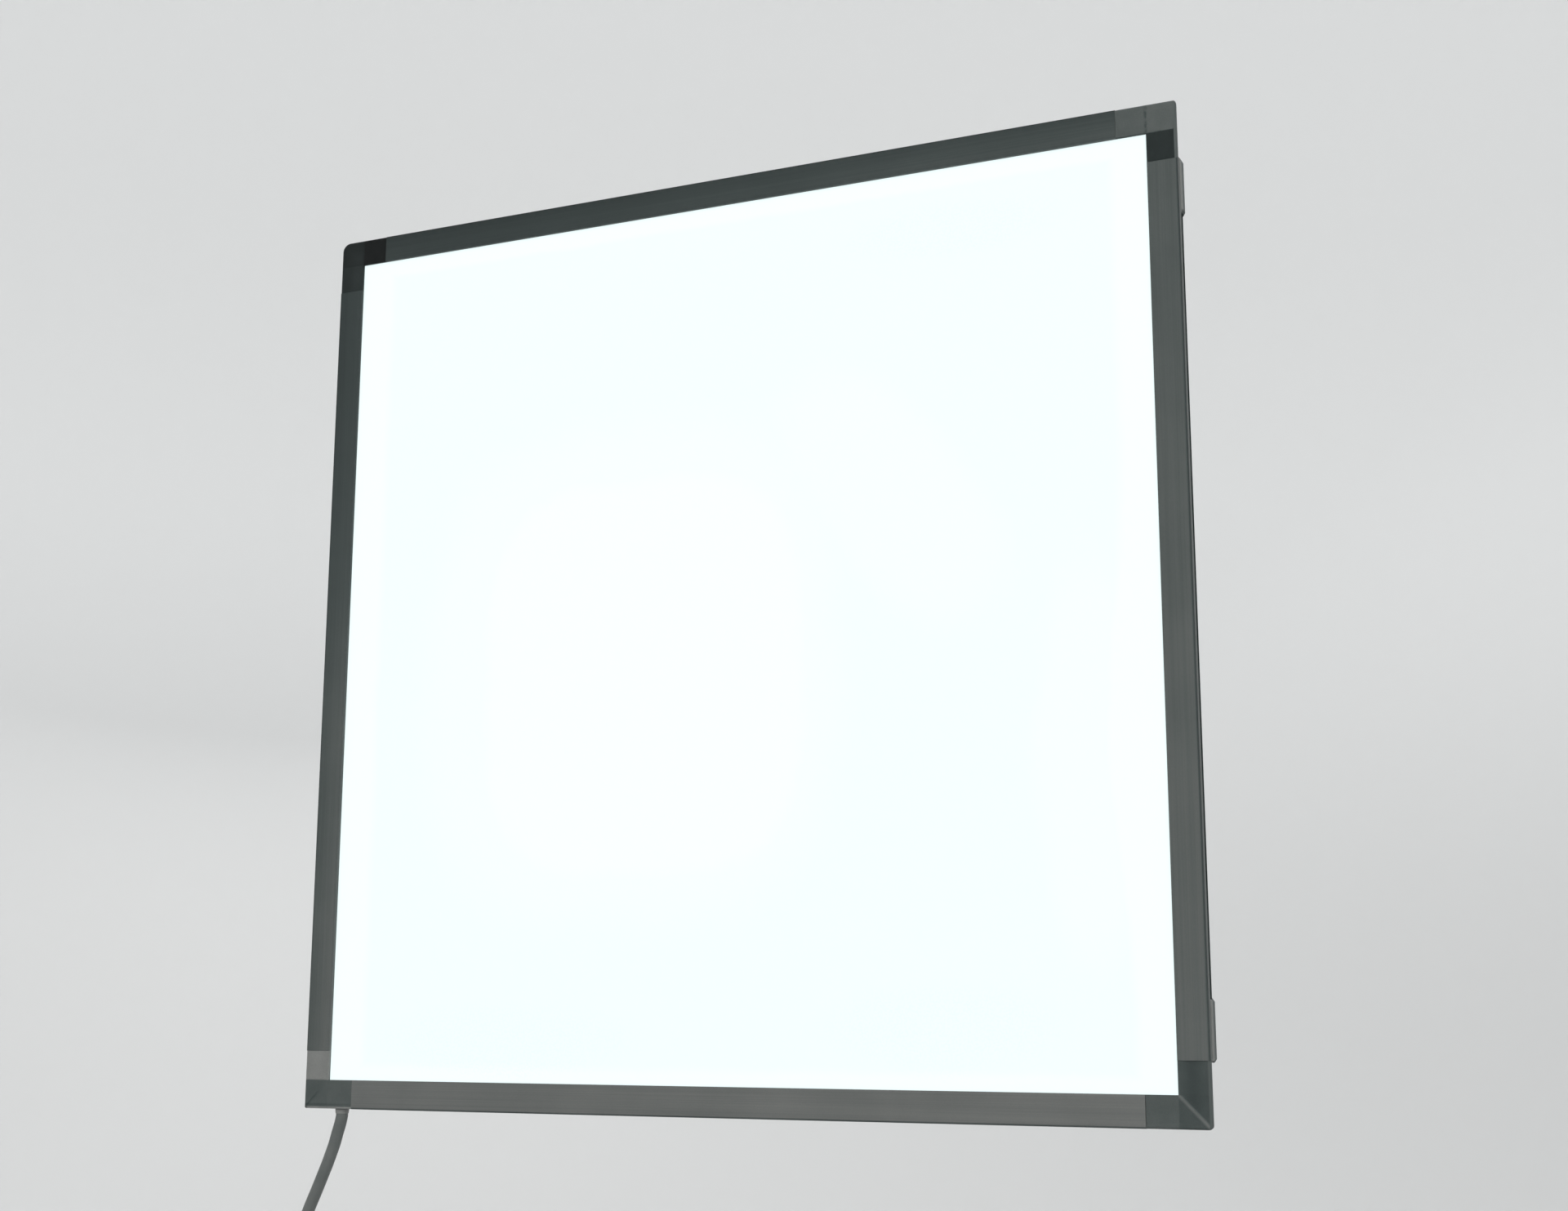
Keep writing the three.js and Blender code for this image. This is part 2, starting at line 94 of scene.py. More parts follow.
# The lead: the stretch that hangs from the frame, its spare length in a tied coil, and the tail.
CORD_D = 4.3 * MM
CORD_EXIT = (-0.1485, -0.0048, -0.1641)
CORD_STEP = 1.6 * MM
LEAD_ROUTE = [
    (-0.1485, -0.0048, -0.1636),
    (-0.1485, -0.0048, -0.1649),
    (-0.1491, -0.0048, -0.1677),
    (-0.1502, -0.0048, -0.1712),
    (-0.1513, -0.0047, -0.1748),
    (-0.1526, -0.0047, -0.1782),
    (-0.1540, -0.0046, -0.1816),
    (-0.1555, -0.0046, -0.1850),
    (-0.1571, -0.0045, -0.1885),
    (-0.1587, -0.0044, -0.1919),
    (-0.1604, -0.0043, -0.1954),
    (-0.1625, -0.0042, -0.2001),
    (-0.1647, -0.0041, -0.2051),
    (-0.1667, -0.0040, -0.2096),
    (-0.1688, -0.0039, -0.2144),
]
TAIL_X = -0.1689
TAIL_Y = -0.0173
TAIL_STEP = 3 * MM
COIL_MEAN = 25 * MM
COIL_PITCH = 4.4 * MM
COIL_TURNS = 8

# Layer and row of each turn in the coil's stack, and the degree at which it leaves for the next
COIL_CELLS = [(1, 1), (1, 0), (1, -1), (0, -1), (0, 0), (0, 1), (-1, 1), (-1, 0), (-1, -1)]
SHIFT_STARTS = [275, 275, 220, 165, 165, 110, 55, 55]
SHIFT_WIDTH = 55


# The camera and the cord come first.


def make_camera():
    data = bpy.data.cameras.new("camera")
    data.lens = LENS
    data.sensor_width = SENSOR
    data.clip_start = 0.01
    data.clip_end = 50
    camera = bpy.data.objects.new("camera", data)
    bpy.context.scene.collection.objects.link(camera)
    turn = (AIM - CAMERA).to_track_quat("-Z", "Y").to_matrix().to_4x4()
    camera.matrix_world = Matrix.Translation(CAMERA) @ turn @ Matrix.Rotation(CAMERA_ROLL, 4, "Z")
    bpy.context.scene.camera = camera


def smooth(t):
    t = min(1.0, max(0.0, t))
    return t * t * (3 - 2 * t)


def catmull(points, step):
    """Points about a step apart on a smooth curve through the given ones."""
    points = [Vector(p) for p in points]
    ends = [2 * points[0] - points[1], *points, 2 * points[-1] - points[-2]]
    out = []
    for p0, p1, p2, p3 in zip(ends, ends[1:], ends[2:], ends[3:]):
        count = max(1, round((p2 - p1).length / step))
        for i in range(count):
            t = i / count
            a = 2 * p1
            b = (p2 - p0) * t
            c = (2 * p0 - 5 * p1 + 4 * p2 - p3) * t**2
            d = (3 * p1 - p0 - 3 * p2 + p3) * t**3
            out.append((a + b + c + d) / 2)
    out.append(points[-1])
    return out


def tail_y(z):
    """The tail moves forward past the coil's front turns while it runs down its side."""
    front_row = COIL_CENTRE.y - COIL_PITCH
    start, run = COIL_CENTRE.z + 6 * MM, 22 * MM
    return front_row + (TAIL_Y - front_row) * smooth((start - z) / run)


def coil_route():
    """Eight turns that pass through a stack of three layers and three rows, the outer layer first.

    A turn moves to its next cell in one stretch, which comes earlier after each corner of
    the stack, so that no turn moves into a cell before the next one has left it.
    """
    lead_in, step, lead_out = 24, 6, 60
    whole = COIL_TURNS * 360
    points = []
    for angle in range(-lead_in, whole + 1, step):
        turn = max(0, angle) // 360
        layer, row = COIL_CELLS[turn]
        if turn < COIL_TURNS:
            next_layer, next_row = COIL_CELLS[turn + 1]
            share = smooth((angle - 360 * turn - SHIFT_STARTS[turn]) / SHIFT_WIDTH)
            layer += (next_layer - layer) * share
            row += (next_row - row) * share
        radius = COIL_MEAN + layer * COIL_PITCH
        at = math.radians(angle)
        offset = Vector((-radius * math.cos(at), row * COIL_PITCH, -radius * math.sin(at)))
        point = COIL_CENTRE + offset
        if angle > whole - lead_out:
            point.y = tail_y(point.z)
        points.append(point)
    return points


def tail_route():
    route = []
    z = COIL_CENTRE.z - 2 * MM
    while z > PLUG_HIGH.z:
        route.append((TAIL_X, tail_y(z), z))
        z -= TAIL_STEP
    route.append((TAIL_X, TAIL_Y, PLUG_HIGH.z - 0.5 * MM))
    return route


def join_frame(piece, slot, *nodes):
    """The piece rides on the panel, in place of the named CAD nodes; its slot is not used."""
    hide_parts(*nodes)
    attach(piece, BODY)


def make_cord():
    route = catmull([*LEAD_ROUTE, *coil_route(), *tail_route()], CORD_STEP)
    curve = bpy.data.curves.new("cord", "CURVE")
    curve.dimensions = "3D"
    curve.bevel_depth = 1.0
    curve.bevel_resolution = 5
    curve.use_fill_caps = True
    spline = curve.splines.new("POLY")
    spline.points.add(len(route) - 1)
    for point, place in zip(spline.points, route):
        point.co = (*place, 1)
        point.radius = CORD_D / 2
    spline.use_smooth = True
    made = bpy.data.objects.new("cord", curve)
    bpy.context.scene.collection.objects.link(made)
    join_frame(made, "grey_cord", "cord_lead", "cord_coil", "cord_tail")
    return made


make_camera()
cord = make_cord()


# Helpers for meshes


def shade_below(mesh, sharp_above):
    """Smooth shading, but for edges sharper than the given angle in degrees."""
    mesh.shade_smooth()
    mesh.set_sharp_from_angle(angle=math.radians(sharp_above))


def new_object(name, mesh, sharp_above=30):
    shade_below(mesh, sharp_above)
    piece = bpy.data.objects.new(name, mesh)
    bpy.context.scene.collection.objects.link(piece)
    return piece


def new_piece(name, mesh, node, slot, sharp_above):
    """A piece of the panel body that stands for a CAD node."""
    piece = new_object(name, mesh, sharp_above)
    join_frame(piece, slot, node)
    return piece


def mesh_of(name, vertices, faces):
    """A clean mesh, with doubles merged and its faces outwards."""
    same_place = 2e-6
    mesh = bpy.data.meshes.new(name)
    mesh.from_pydata([tuple(v) for v in vertices], [], faces)
    work = bmesh.new()
    work.from_mesh(mesh)
    bmesh.ops.remove_doubles(work, verts=work.verts, dist=same_place)
    bmesh.ops.dissolve_degenerate(work, edges=work.edges, dist=same_place)
    bmesh.ops.recalc_face_normals(work, faces=work.faces)
    work.to_mesh(mesh)
    work.free()
    mesh.validate()
    return mesh


def joined(name, meshes):
    """One mesh with all the parts of several."""
    work = bmesh.new()
    for mesh in meshes:
        work.from_mesh(mesh)
    made = bpy.data.meshes.new(name)
    work.to_mesh(made)
    work.free()
    return made


def bands(starts, count):
    """Quads between rings of so many vertices, each ring given by its first vertex."""
    faces = []
    for low, high in zip(starts, starts[1:]):
        for i in range(count):
            j = (i + 1) % count
            faces.append((low + i, low + j, high + j, high + i))
    return faces


def cap(start, count):
    return tuple(range(start, start + count))


def modifier(piece, kind, **settings):
    made = piece.modifiers.new(kind.lower(), kind)
    for key, value in settings.items():
        setattr(made, key, value)


def add_solid(piece, tool, operation):
    """Joins a tool mesh to a piece, or cuts it out, once and for all."""
    helper = bpy.data.objects.new("helper", tool)
    bpy.context.scene.collection.objects.link(helper)
    modifier(piece, "BOOLEAN", operation=operation, solver="EXACT", object=helper)
    graph = bpy.context.evaluated_depsgraph_get()
    made = bpy.data.meshes.new_from_object(piece.evaluated_get(graph))
    piece.modifiers.clear()
    piece.data = made
    bpy.data.objects.remove(helper)


def revolve(name, profile, centre, axis="z", sides=48):
    """A turned mesh from (radius, height) pairs in millimetres; a zero radius closes an end."""
    vertices = []
    for radius, height in profile:
        for i in range(sides):
            angle = 2 * math.pi * i / sides
            x, y = radius * math.cos(angle), radius * math.sin(angle)
            point = (x, y, height) if axis == "z" else (x, height, -y)
            vertices.append(Vector(centre) + Vector(point) * MM)
    return mesh_of(name, vertices, bands(range(0, len(vertices), sides), sides))


def box_mesh(low, high):
    xs, ys, zs = zip(low, high)
    vertices = [(x, y, z) for x in xs for y in ys for z in zs]
    faces = [(0, 1, 3, 2), (4, 6, 7, 5), (0, 4, 5, 1), (2, 3, 7, 6), (0, 2, 6, 4), (1, 5, 7, 3)]
    return mesh_of("box", vertices, faces)


# Materials: one Principled shader each, driven by nodes in the object's own millimetres

# The finish is a grey with a faint green, cooler where it is dark.
DARK_TINT = (0.71, 1.0, 0.985, 1)
LIGHT_TINT = (0.975, 1.0, 0.965, 1)
TINT_FROM = -0.03
TINT_TO = 0.17

# What most of a noise lies between, by its kind
GRAIN = (0.2, 0.8)
CLOUD = (0.25, 0.75)
LINES = (0.3, 0.7)


def behind(depth):
    """The y of a plane so many millimetres behind the frame's front."""
    return FRONT / MM + depth


class Look:
    def __init__(self, name):
        self.material = bpy.data.materials.new(name)
        self.material.use_nodes = True
        self.tree = self.material.node_tree
        self.shader = self.tree.nodes["Principled BSDF"]
        coordinates = self.node("ShaderNodeTexCoord", {})
        self.place = self.scaled(coordinates["Object"], 1 / MM)
        self.x, self.y, self.z = self.node("ShaderNodeSeparateXYZ", {0: self.place})

    def node(self, kind, given, **settings):
        """The outputs of a new node whose inputs are given by number or by name."""
        made = self.tree.nodes.new(kind)
        for key, value in settings.items():
            setattr(made, key, value)
        for key, value in given.items():
            self.feed(made.inputs[key], value)
        return made.outputs

    def feed(self, socket, value):
        if isinstance(value, bpy.types.NodeSocket):
            self.tree.links.new(value, socket)
        else:
            socket.default_value = value

    def set(self, **values):
        for name, value in values.items():
            self.feed(self.shader.inputs[name.replace("_", " ")], value)

    def math(self, operation, a, b=0.0, c=0.0):
        return self.node("ShaderNodeMath", {0: a, 1: b, 2: c}, operation=operation)[0]

    def add(self, a, b):
        return self.math("ADD", a, b)

    def less(self, a, b):
        return self.math("SUBTRACT", a, b)

    def times(self, a, b):
        return self.math("MULTIPLY", a, b)

    def size(self, value):
        return self.math("ABSOLUTE", value)

    def most(self, first, *others):
        for other in others:
            first = self.math("MAXIMUM", first, other)
        return first

    def ramp(self, value, low, high, out_low=0.0, out_high=1.0):
        """A smooth step as value goes from low to high."""
        given = {0: value, 1: low, 2: high, 3: out_low, 4: out_high}
        return self.node("ShaderNodeMapRange", given, interpolation_type="SMOOTHSTEP")[0]

    def near(self, value, centre, width):
        """1 where value is at centre, and 0 from the given width on."""
        return self.ramp(self.size(self.less(value, centre)), 0.0, width, 1.0, 0.0)

    def between(self, share, start, end):
        """From start where the share is 0 to end where it is 1."""
        sockets = any(isinstance(value, bpy.types.NodeSocket) for value in (start, end))
        reach = self.less(end, start) if sockets else end - start
        return self.math("MULTIPLY_ADD", share, reach, start)

    def vary(self, tone, noise, spread, low, high):
        """The tone times a factor that follows a noise."""
        return self.times(tone, self.ramp(noise, *spread, low, high))

    def dim(self, tone, mask, share):
        """The tone, less a share of it where the mask is 1."""
        return self.times(tone, self.less(1.0, self.times(mask, share)))

    def stretch(self, x, y, z):
        given = {0: self.place, 1: (x, y, z)}
        return self.node("ShaderNodeVectorMath", given, operation="MULTIPLY")[0]

    def noise(self, vector=None, scale=1.0, detail=2.0, roughness=0.5):
        given = {"Vector": vector or self.place, "Scale": scale}
        given |= {"Detail": detail, "Roughness": roughness}
        return self.node("ShaderNodeTexNoise", given)["Fac"]

    def cells(self, vector=None, scale=1.0, randomness=1.0):
        given = {"Vector": vector or self.place, "Scale": scale, "Randomness": randomness}
        return self.node("ShaderNodeTexVoronoi", given)["Distance"]

    def mix(self, share, a, b):
        """A colour from a to b; the node's colour sockets are 6 and 7 in, and 2 out."""
        return self.node("ShaderNodeMix", {0: share, 6: a, 7: b}, data_type="RGBA")[2]

    def scaled(self, vector, factor):
        given = {0: vector, "Scale": factor}
        return self.node("ShaderNodeVectorMath", given, operation="SCALE")[0]

    def tinted(self, tone):
        """The finish's colour at a tone."""
        tint = self.mix(self.ramp(tone, TINT_FROM, TINT_TO), DARK_TINT, LIGHT_TINT)
        return self.scaled(tint, tone)

    def bump(self, height, distance, strength):
        """Bump from a height of 0 to 1 that stands for a distance in millimetres."""
        given = {"Strength": strength, "Distance": distance * MM, "Height": height}
        self.set(Normal=self.node("ShaderNodeBump", given)[0])

    def surface(self, grain, smoothest, roughest, distance, strength):
        """Roughness and bump that both follow one noise."""
        self.set(Roughness=self.ramp(grain, *GRAIN, smoothest, roughest))
        self.bump(grain, distance, strength)

    def speckle(self, noise, dark, light):
        """A colour that follows a noise."""
        self.set(Base_Color=self.mix(noise, (*dark, 1), (*light, 1)))

    def paint(self, *pieces):
        """Gives the material to pieces, or to CAD nodes by name."""
        for piece in pieces:
            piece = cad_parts[piece] if isinstance(piece, str) else piece
            piece.data.materials.clear()
            piece.data.materials.append(self.material)


# Studio


def floor_profile():
    """A flat floor that curves up into a wall all round."""
    rings = [(0.0, 0.0), (FLOOR_FLAT, 0.0)]
    for i in range(1, FLOOR_STEPS + 1):
        angle = i / FLOOR_STEPS * math.pi / 2
        out, up = FLOOR_FILLET * math.sin(angle), FLOOR_FILLET * (1 - math.cos(angle))
        rings.append((FLOOR_FLAT + out, up))
    rings.append((FLOOR_FLAT + FLOOR_FILLET, WALL_TOP))
    return [(radius / MM, height / MM) for radius, height in rings]


def make_floor():
    mesh = revolve("studio_floor", floor_profile(), (0, 0, FLOOR_Z), sides=96)
    floor = new_object("studio_floor", mesh)
    floor.data.flip_normals()
    paper = Look("studio_paper")
    # Painted shade: the paper is darker on the floor and lighter up the wall, evening out the lamps'
    # light.
    height = paper.ramp(paper.z, FLOOR_Z / MM + 40, FLOOR_Z / MM + 1300, 0.60, 0.80)
    paper.set(Base_Color=paper.scaled(PAPER_TINT, height), Roughness=0.9, Specular_IOR_Level=0.1)
    paper.paint(floor)


def make_light(name, place, aim, size, power, colour):
    data = bpy.data.lights.new(name, "AREA")
    data.shape = "DISK"
    data.size = size
    data.energy = power
    data.color = colour
    light = bpy.data.objects.new(name, data)
    bpy.context.scene.collection.objects.link(light)
    turn = (Vector(aim) - Vector(place)).to_track_quat("-Z", "Y").to_matrix().to_4x4()
    light.matrix_world = Matrix.Translation(Vector(place)) @ turn
    light.visible_camera = False


def make_studio():
    scene = bpy.context.scene
    scene.view_settings.view_transform = "Standard"
    world = bpy.data.worlds.new("studio")
    scene.world = world
    world.use_nodes = True
    sky = world.node_tree.nodes["Background"]
    sky.inputs["Color"].default_value = WORLD_COLOUR
    sky.inputs["Strength"].default_value = 1
    make_floor()
    for light in LIGHTS:
        make_light(*light)


make_studio()


# Frame bars and side clips keep their CAD shape, with eased edges.

SIDE_TONE = 0.10
# Painted shade in the side recess: its tone, its middle and its reach, in millimetres
RECESS_SHADE_TONE = 0.024
RECESS_MIDDLE = 5.2
RECESS_REACH = 2.3
BAR_EASE = 0.14
CLIP_EASE = 0.16
EASE_ANGLE = 35

# Half the stretch along x or z, in millimetres, over which a bar's painted light and shade changes
BAR_SPAN = 150.0

# Tone of each bar at its low end and at its high end, along x or z, as painted light and shade
BAR_PAINTED_LIGHT = {
    "bottom": (0.146, 0.147),
    "left": (0.110, 0.0425),
    "top": (0.038, 0.0645),
    "right": (0.118, 0.087),
}

# How much lighter or darker a bar's inner edge is than its middle: painted light from the lit face
BAR_INNER_PAINTED_LIGHT = {"bottom": 1.0, "left": 1.1, "top": 1.1, "right": 1.0}


def ease(piece, width):
    """Rounds the sharp edges of a CAD node without touching its mesh."""
    modifier(piece, "DECIMATE", decimate_type="DISSOLVE", angle_limit=math.radians(0.5))
    modifier(
        piece,
        "BEVEL",
        width=width * MM,
        segments=2,
        limit_method="ANGLE",
        angle_limit=math.radians(EASE_ANGLE),
        harden_normals=True,
    )
    piece.data.shade_smooth()


def front_mask(look):
    """1 on the frame's front face, and 0 on its sides."""
    return look.ramp(look.y, behind(0.9), behind(0.5))


def anodised(name, along, painted_light_tones, inner):
    """Satin anodised extrusion: fine draw lines along the bar, cloudy tone, and painted light and
    shade: a tone that changes along the bar, a lighter inner edge, painted shade on the outer arris and
    in the recess.
    """
    look = Look(name)
    if along == "x":
        run, across = look.x, look.z
        thin, wide = look.stretch(0.012, 2.2, 2.2), look.stretch(0.006, 0.5, 0.5)
    else:
        run, across = look.z, look.x
        thin, wide = look.stretch(2.2, 2.2, 0.012), look.stretch(0.5, 0.5, 0.006)
    lines = look.noise(thin, 1.0, 3.0, 0.6)
    streaks = look.noise(wide, 1.0, 2.0)
    cloud = look.noise(scale=0.03, detail=3)
    grain = look.noise(scale=6.0, detail=2)
    inwards = look.less(OUTER, look.size(across))
    # Painted light and shade: the tone changes from one end of the bar to the other.
    tone = look.ramp(run, -BAR_SPAN, BAR_SPAN, *painted_light_tones)
    # Painted light: the edge next to the lit face is lighter than the outer edge.
    tone = look.times(tone, look.ramp(inwards, 1.0, 9.0, 2.0 - inner, inner))
    # Painted shade along the outer arris.
    tone = look.times(tone, look.ramp(inwards, 0.35, 0.75, 0.5, 1.0))
    # Painted shade: the side darkens to the recess tone inside the recess.
    recess = look.ramp(look.near(look.y, behind(RECESS_MIDDLE), RECESS_REACH), 0.0, 0.12)
    side = look.between(recess, SIDE_TONE, RECESS_SHADE_TONE)
    tone = look.between(front_mask(look), side, tone)
    tone = look.vary(tone, lines, LINES, 0.95, 1.05)
    tone = look.vary(tone, streaks, LINES, 0.97, 1.03)
    tone = look.vary(tone, cloud, CLOUD, 0.94, 1.06)
    tone = look.vary(tone, grain, GRAIN, 0.95, 1.05)
    open_side = look.less(1.0, recess)
    metallic, gloss = look.times(open_side, 0.3), look.times(open_side, 0.15)
    look.set(Base_Color=look.tinted(tone), Metallic=metallic, Specular_IOR_Level=gloss)
    look.set(Roughness=look.ramp(look.add(lines, cloud), 0.6, 1.4, 0.40, 0.54))
    look.bump(look.add(look.times(lines, 0.7), look.times(grain, 0.3)), 0.02, 0.5)
    return look


def dress_bars():
    for side in SIDES:
        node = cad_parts["frame_" + side]
        along = "x" if side in ("bottom", "top") else "z"
        look = anodised("anodised_" + side, along, BAR_PAINTED_LIGHT[side], BAR_INNER_PAINTED_LIGHT[side])
        ease(node, BAR_EASE)
        look.paint(node)


def dress_clips():
    """Paler satin plastic with scuffs along it, and painted shade where it dips into the recess."""
    look = Look("clip_plastic")
    grain = look.noise(scale=5.0, detail=3)
    cloud = look.noise(scale=0.25, detail=2)
    scuff = look.noise(look.stretch(3.0, 3.0, 0.35), 1.0, 3.0)
    tone = look.ramp(cloud, *CLOUD, 0.150, 0.172)
    tone = look.vary(tone, grain, GRAIN, 0.93, 1.07)
    tone = look.vary(tone, scuff, (0.55, 0.75), 1.0, 1.18)
    # Painted shade: darker towards the rear, where the clip dips into the recess.
    tone = look.times(tone, look.ramp(look.y, behind(4.2), behind(5.4), 1.0, 0.38))
    look.set(Base_Color=look.tinted(tone), Specular_IOR_Level=0.2)
    look.surface(grain, 0.38, 0.55, 0.03, 0.5)
    for side in ("left", "right"):
        for end in ("bottom", "top"):
            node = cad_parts[f"side_clip_{side}_{end}"]
            ease(node, CLIP_EASE)
            look.paint(node)


dress_bars()
dress_clips()


# Moulded corner pieces

# name: signs of x and z, outer radius, tones of the leg along x, the square and the leg along z, which
# are painted light and shade
CORNERS = {
    "bottom_left": ((-1, -1), 0.6, (0.082, 0.0785, 0.189)),
    "top_left": ((-1, 1), 3.4, (0.005, 0.0138, 0.0182)),
    "top_right": ((1, 1), 0.9, (0.087, 0.0965, 0.0235)),
    "bottom_right": ((1, -1), 1.3, (0.076, 0.0585, 0.063)),
}
LEG = 20.08
SQUARE = 10.0
CORNER_SIDE_TONE = 0.075
# Painted highlight along the right corners' outer rounding
CORNER_RIM_HIGHLIGHT = 0.085

# The tongue that goes into a bar's hollow chamber, and the recess that a side clip runs into
SPIGOT = {"past": (-15, 1), "inwards": (3.4, 5.2), "depth": (5.95, 6.85)}
RELIEF = {"past": (-1, 2.4), "inwards": (-1, 0.45), "depth": (3.0, 8.0)}
BORE_RADIUS = 2.45
BORE_DEPTH = 3.0

# A leg's cross-sections: steps in the rounding, then distances past it, shares of the way to
# the square's inner side, and distances in from the outer side.
ARC_STEPS = 6
STEPS_PAST_ARC = (0.0, 0.15, 0.3, 0.5, 0.8, 1.2)
SHARES_OF_SQUARE = (0.25, 0.5, 0.75, 0.9)
ALONG_LEG = (10.0, 10.12, 10.3, 10.6, 12.0, 14.0, 16.0, 18.0, 19.95, 20.02, LEG)

# How far the front drops at the last two cross-sections, so that a leg's end is eased
END_EASE = {20.02: 0.01, LEG: 0.05}


def corner_section():
    """Points (u, d) round the section: u inwards from the outer side, d back from the front."""
    radius = 0.8
    points = []
    for i in range(7):
        angle = i / 6 * math.pi / 2
        points.append((0.06 + radius * (1 - math.cos(angle)), radius * (1 - math.sin(angle))))
    points += [(1.4 + 0.7 * i, 0.0) for i in range(12)]
    points += [(9.6, 0.0), (9.85, 0.0), (9.96, 0.05), (10.0, 0.15), (10.0, 1.1), (2.5, 1.1)]
    points += [(2.5, 5.3), (10.0, 5.3), (10.0, 6.4), (6.0, 6.4), (6.0, 7.4), (5.9, 7.5)]
    points += [(4.6, 7.5), (3.5, 7.48), (3.0, 7.36), (2.6, 7.1), (2.1, 6.65), (1.7, 6.2)]
    points += [(1.3, 5.65), (1.0, 5.1), (0.72, 4.5), (0.5, 3.9), (0.35, 3.3), (0.22, 2.7)]
    points += [(0.12, 2.0), (0.07, 1.4)]
    return points


def groove(distance, width):
    """1 at no distance, falling off as a bell whose width is given."""
    return math.exp(-((distance / width) ** 2))


def corner_relief(name, a, b):
    """How far the front face lies behind the frame's front, a and b in from the two sides."""
    across, along = min(a, b), max(a, b)
    gap = abs(a - b)
    depth = 0.05 * math.sin(math.pi * min(across, SQUARE) / SQUARE)
    depth += 0.07 * groove(along - SQUARE, 0.25)
    if name == "bottom_right":
        depth += 0.16 * smooth(gap / 1.1) - 0.02 * smooth(along / LEG)
        depth += 0.06 * math.sin(math.pi * across / SQUARE) * smooth(gap / 2)
    elif name == "bottom_left":
        depth += 0.10 * groove(gap, 0.35) * smooth((13 - a - b) / 5 + 0.4)
        depth += 0.04 if along <= SQUARE else 0.0
    elif name == "top_left":
        depth += 0.06 * smooth((LEG - along) / LEG)
    else:
        depth += 0.05 * groove(a - SQUARE, 0.35) if b <= SQUARE else 0.06
    return depth


def leg_places(radius, u):
    """
    One line along a leg, u in from the side that the leg runs along. Each point is how far in
    it is from the side that the leg leaves, and from the side that it runs along.
    """
    flat = max(u, radius)
    inner = max(0.0, radius - u)
    for i in range(ARC_STEPS):
        angle = math.pi / 4 * (1 - i / ARC_STEPS)
        yield flat - inner * math.sin(angle), flat - inner * math.cos(angle)
    for step in STEPS_PAST_ARC:
        yield min(SQUARE, flat + step), u
    start = min(SQUARE, flat + STEPS_PAST_ARC[-1])
    for share in SHARES_OF_SQUARE:
        yield start + (SQUARE - start) * share, u
    for end in ALONG_LEG:
        yield end, u


def corner_mesh(name, signs, radius):
    section = corner_section()
    count = len(section)
    vertices, faces = [], []
    for turned in (False, True):
        base = len(vertices)
        lines = [list(leg_places(radius, u)) for u, _ in section]
        for row in zip(*lines):
            for (u, d), (run, across) in zip(section, row):
                a, b = (across, run) if turned else (run, across)
                depth = d
                if d < 0.05 and u > 0.9:
                    depth += corner_relief(name, a, b)
                if d < 1:
                    depth += END_EASE.get(run, 0.0)
                x, z = signs[0] * (OUTER - a), signs[1] * (OUTER - b)
                vertices.append((x * MM, FRONT + depth * MM, z * MM))
        faces += bands(range(base, len(vertices), count), count)
        faces.append(cap(len(vertices) - count, count))
    return mesh_of("corner_" + name, vertices, faces)


def on_legs(signs, past, inwards, depth):
    """
    A box on each leg, as (low, high) corners: how far past the bar's end it starts and stops,
    inwards from the outer side, and its depth, all in millimetres.
    """
    along = [BAR_END + value * MM for value in past]
    across = [HALF - value * MM for value in inwards]
    for spans in ((along, across), (across, along)):
        low, high = [0, FRONT + depth[0] * MM, 0], [0, FRONT + depth[1] * MM, 0]
        for axis, span, sign in zip((0, 2), spans, signs):
            low[axis], high[axis] = sorted((sign * span[0], sign * span[1]))
        yield low, high


def mark_bottom_right(look, tone, at):
    """A painted highlight along the raised mitre, and painted shade on the upper half, darkest in its
    middle.
    """
    # Painted shade: the upper half darker, most in its middle.
    upper = look.ramp(look.less(at.b, at.a), -0.1, 0.1)
    tone = look.times(tone, look.between(upper, 1.03, 0.97))
    middle = look.times(look.near(at.a, 5.5, 4.5), look.times(upper, 0.22))
    tone = look.times(tone, look.less(1.08, middle))
    # Painted highlight along the mitre, inside the square.
    in_square = look.ramp(look.most(at.a, at.b), 10.4, 9.8)
    line = look.times(look.near(at.gap, 0.0, 1.35), in_square)
    return look.add(tone, look.times(line, 0.06))


def mark_bottom_left(look, tone, at):
    """Painted shade along the mitre that fades inwards, a lighter lower half, a painted shadow above
    the lower side and a painted highlight on its rounding.
    """
    # Painted shade along the mitre groove.
    line = look.times(look.near(at.gap, 0.0, 1.0), look.ramp(look.add(at.a, at.b), 14.0, 8.0))
    tone = look.dim(tone, line, 0.25)
    # Painted light: the lower half lighter.
    lower = look.ramp(look.less(at.a, at.b), -3.0, 2.0)
    tone = look.times(tone, look.between(lower, 0.97, 1.07))
    # Painted shadow above the lower side's rounding.
    under = look.times(look.near(at.b, 1.5, 0.7), look.ramp(at.a, LEG, 2.0, 0.5, 1.0))
    tone = look.dim(tone, under, 0.3)
    # Painted highlight on the lower side's rounding.
    rim = look.times(look.ramp(at.b, 0.9, 0.5), look.ramp(at.a, 0.5, 2.0))
    return look.times(tone, look.between(rim, 1.0, 2.7))


def mark_top_right(look, tone, at):
    """A worn dark seam down from the top, where the leg along x begins."""
    blot = look.ramp(look.noise(scale=0.8, detail=3, roughness=0.7), 0.42, 0.62)
    seam = look.near(look.add(at.a, at.wobble), SQUARE, 0.9)
    seam = look.times(seam, look.between(blot, 0.25, 0.85))
    seam = look.times(seam, look.less(1.0, at.past_b))
    return look.dim(tone, seam, 0.55)


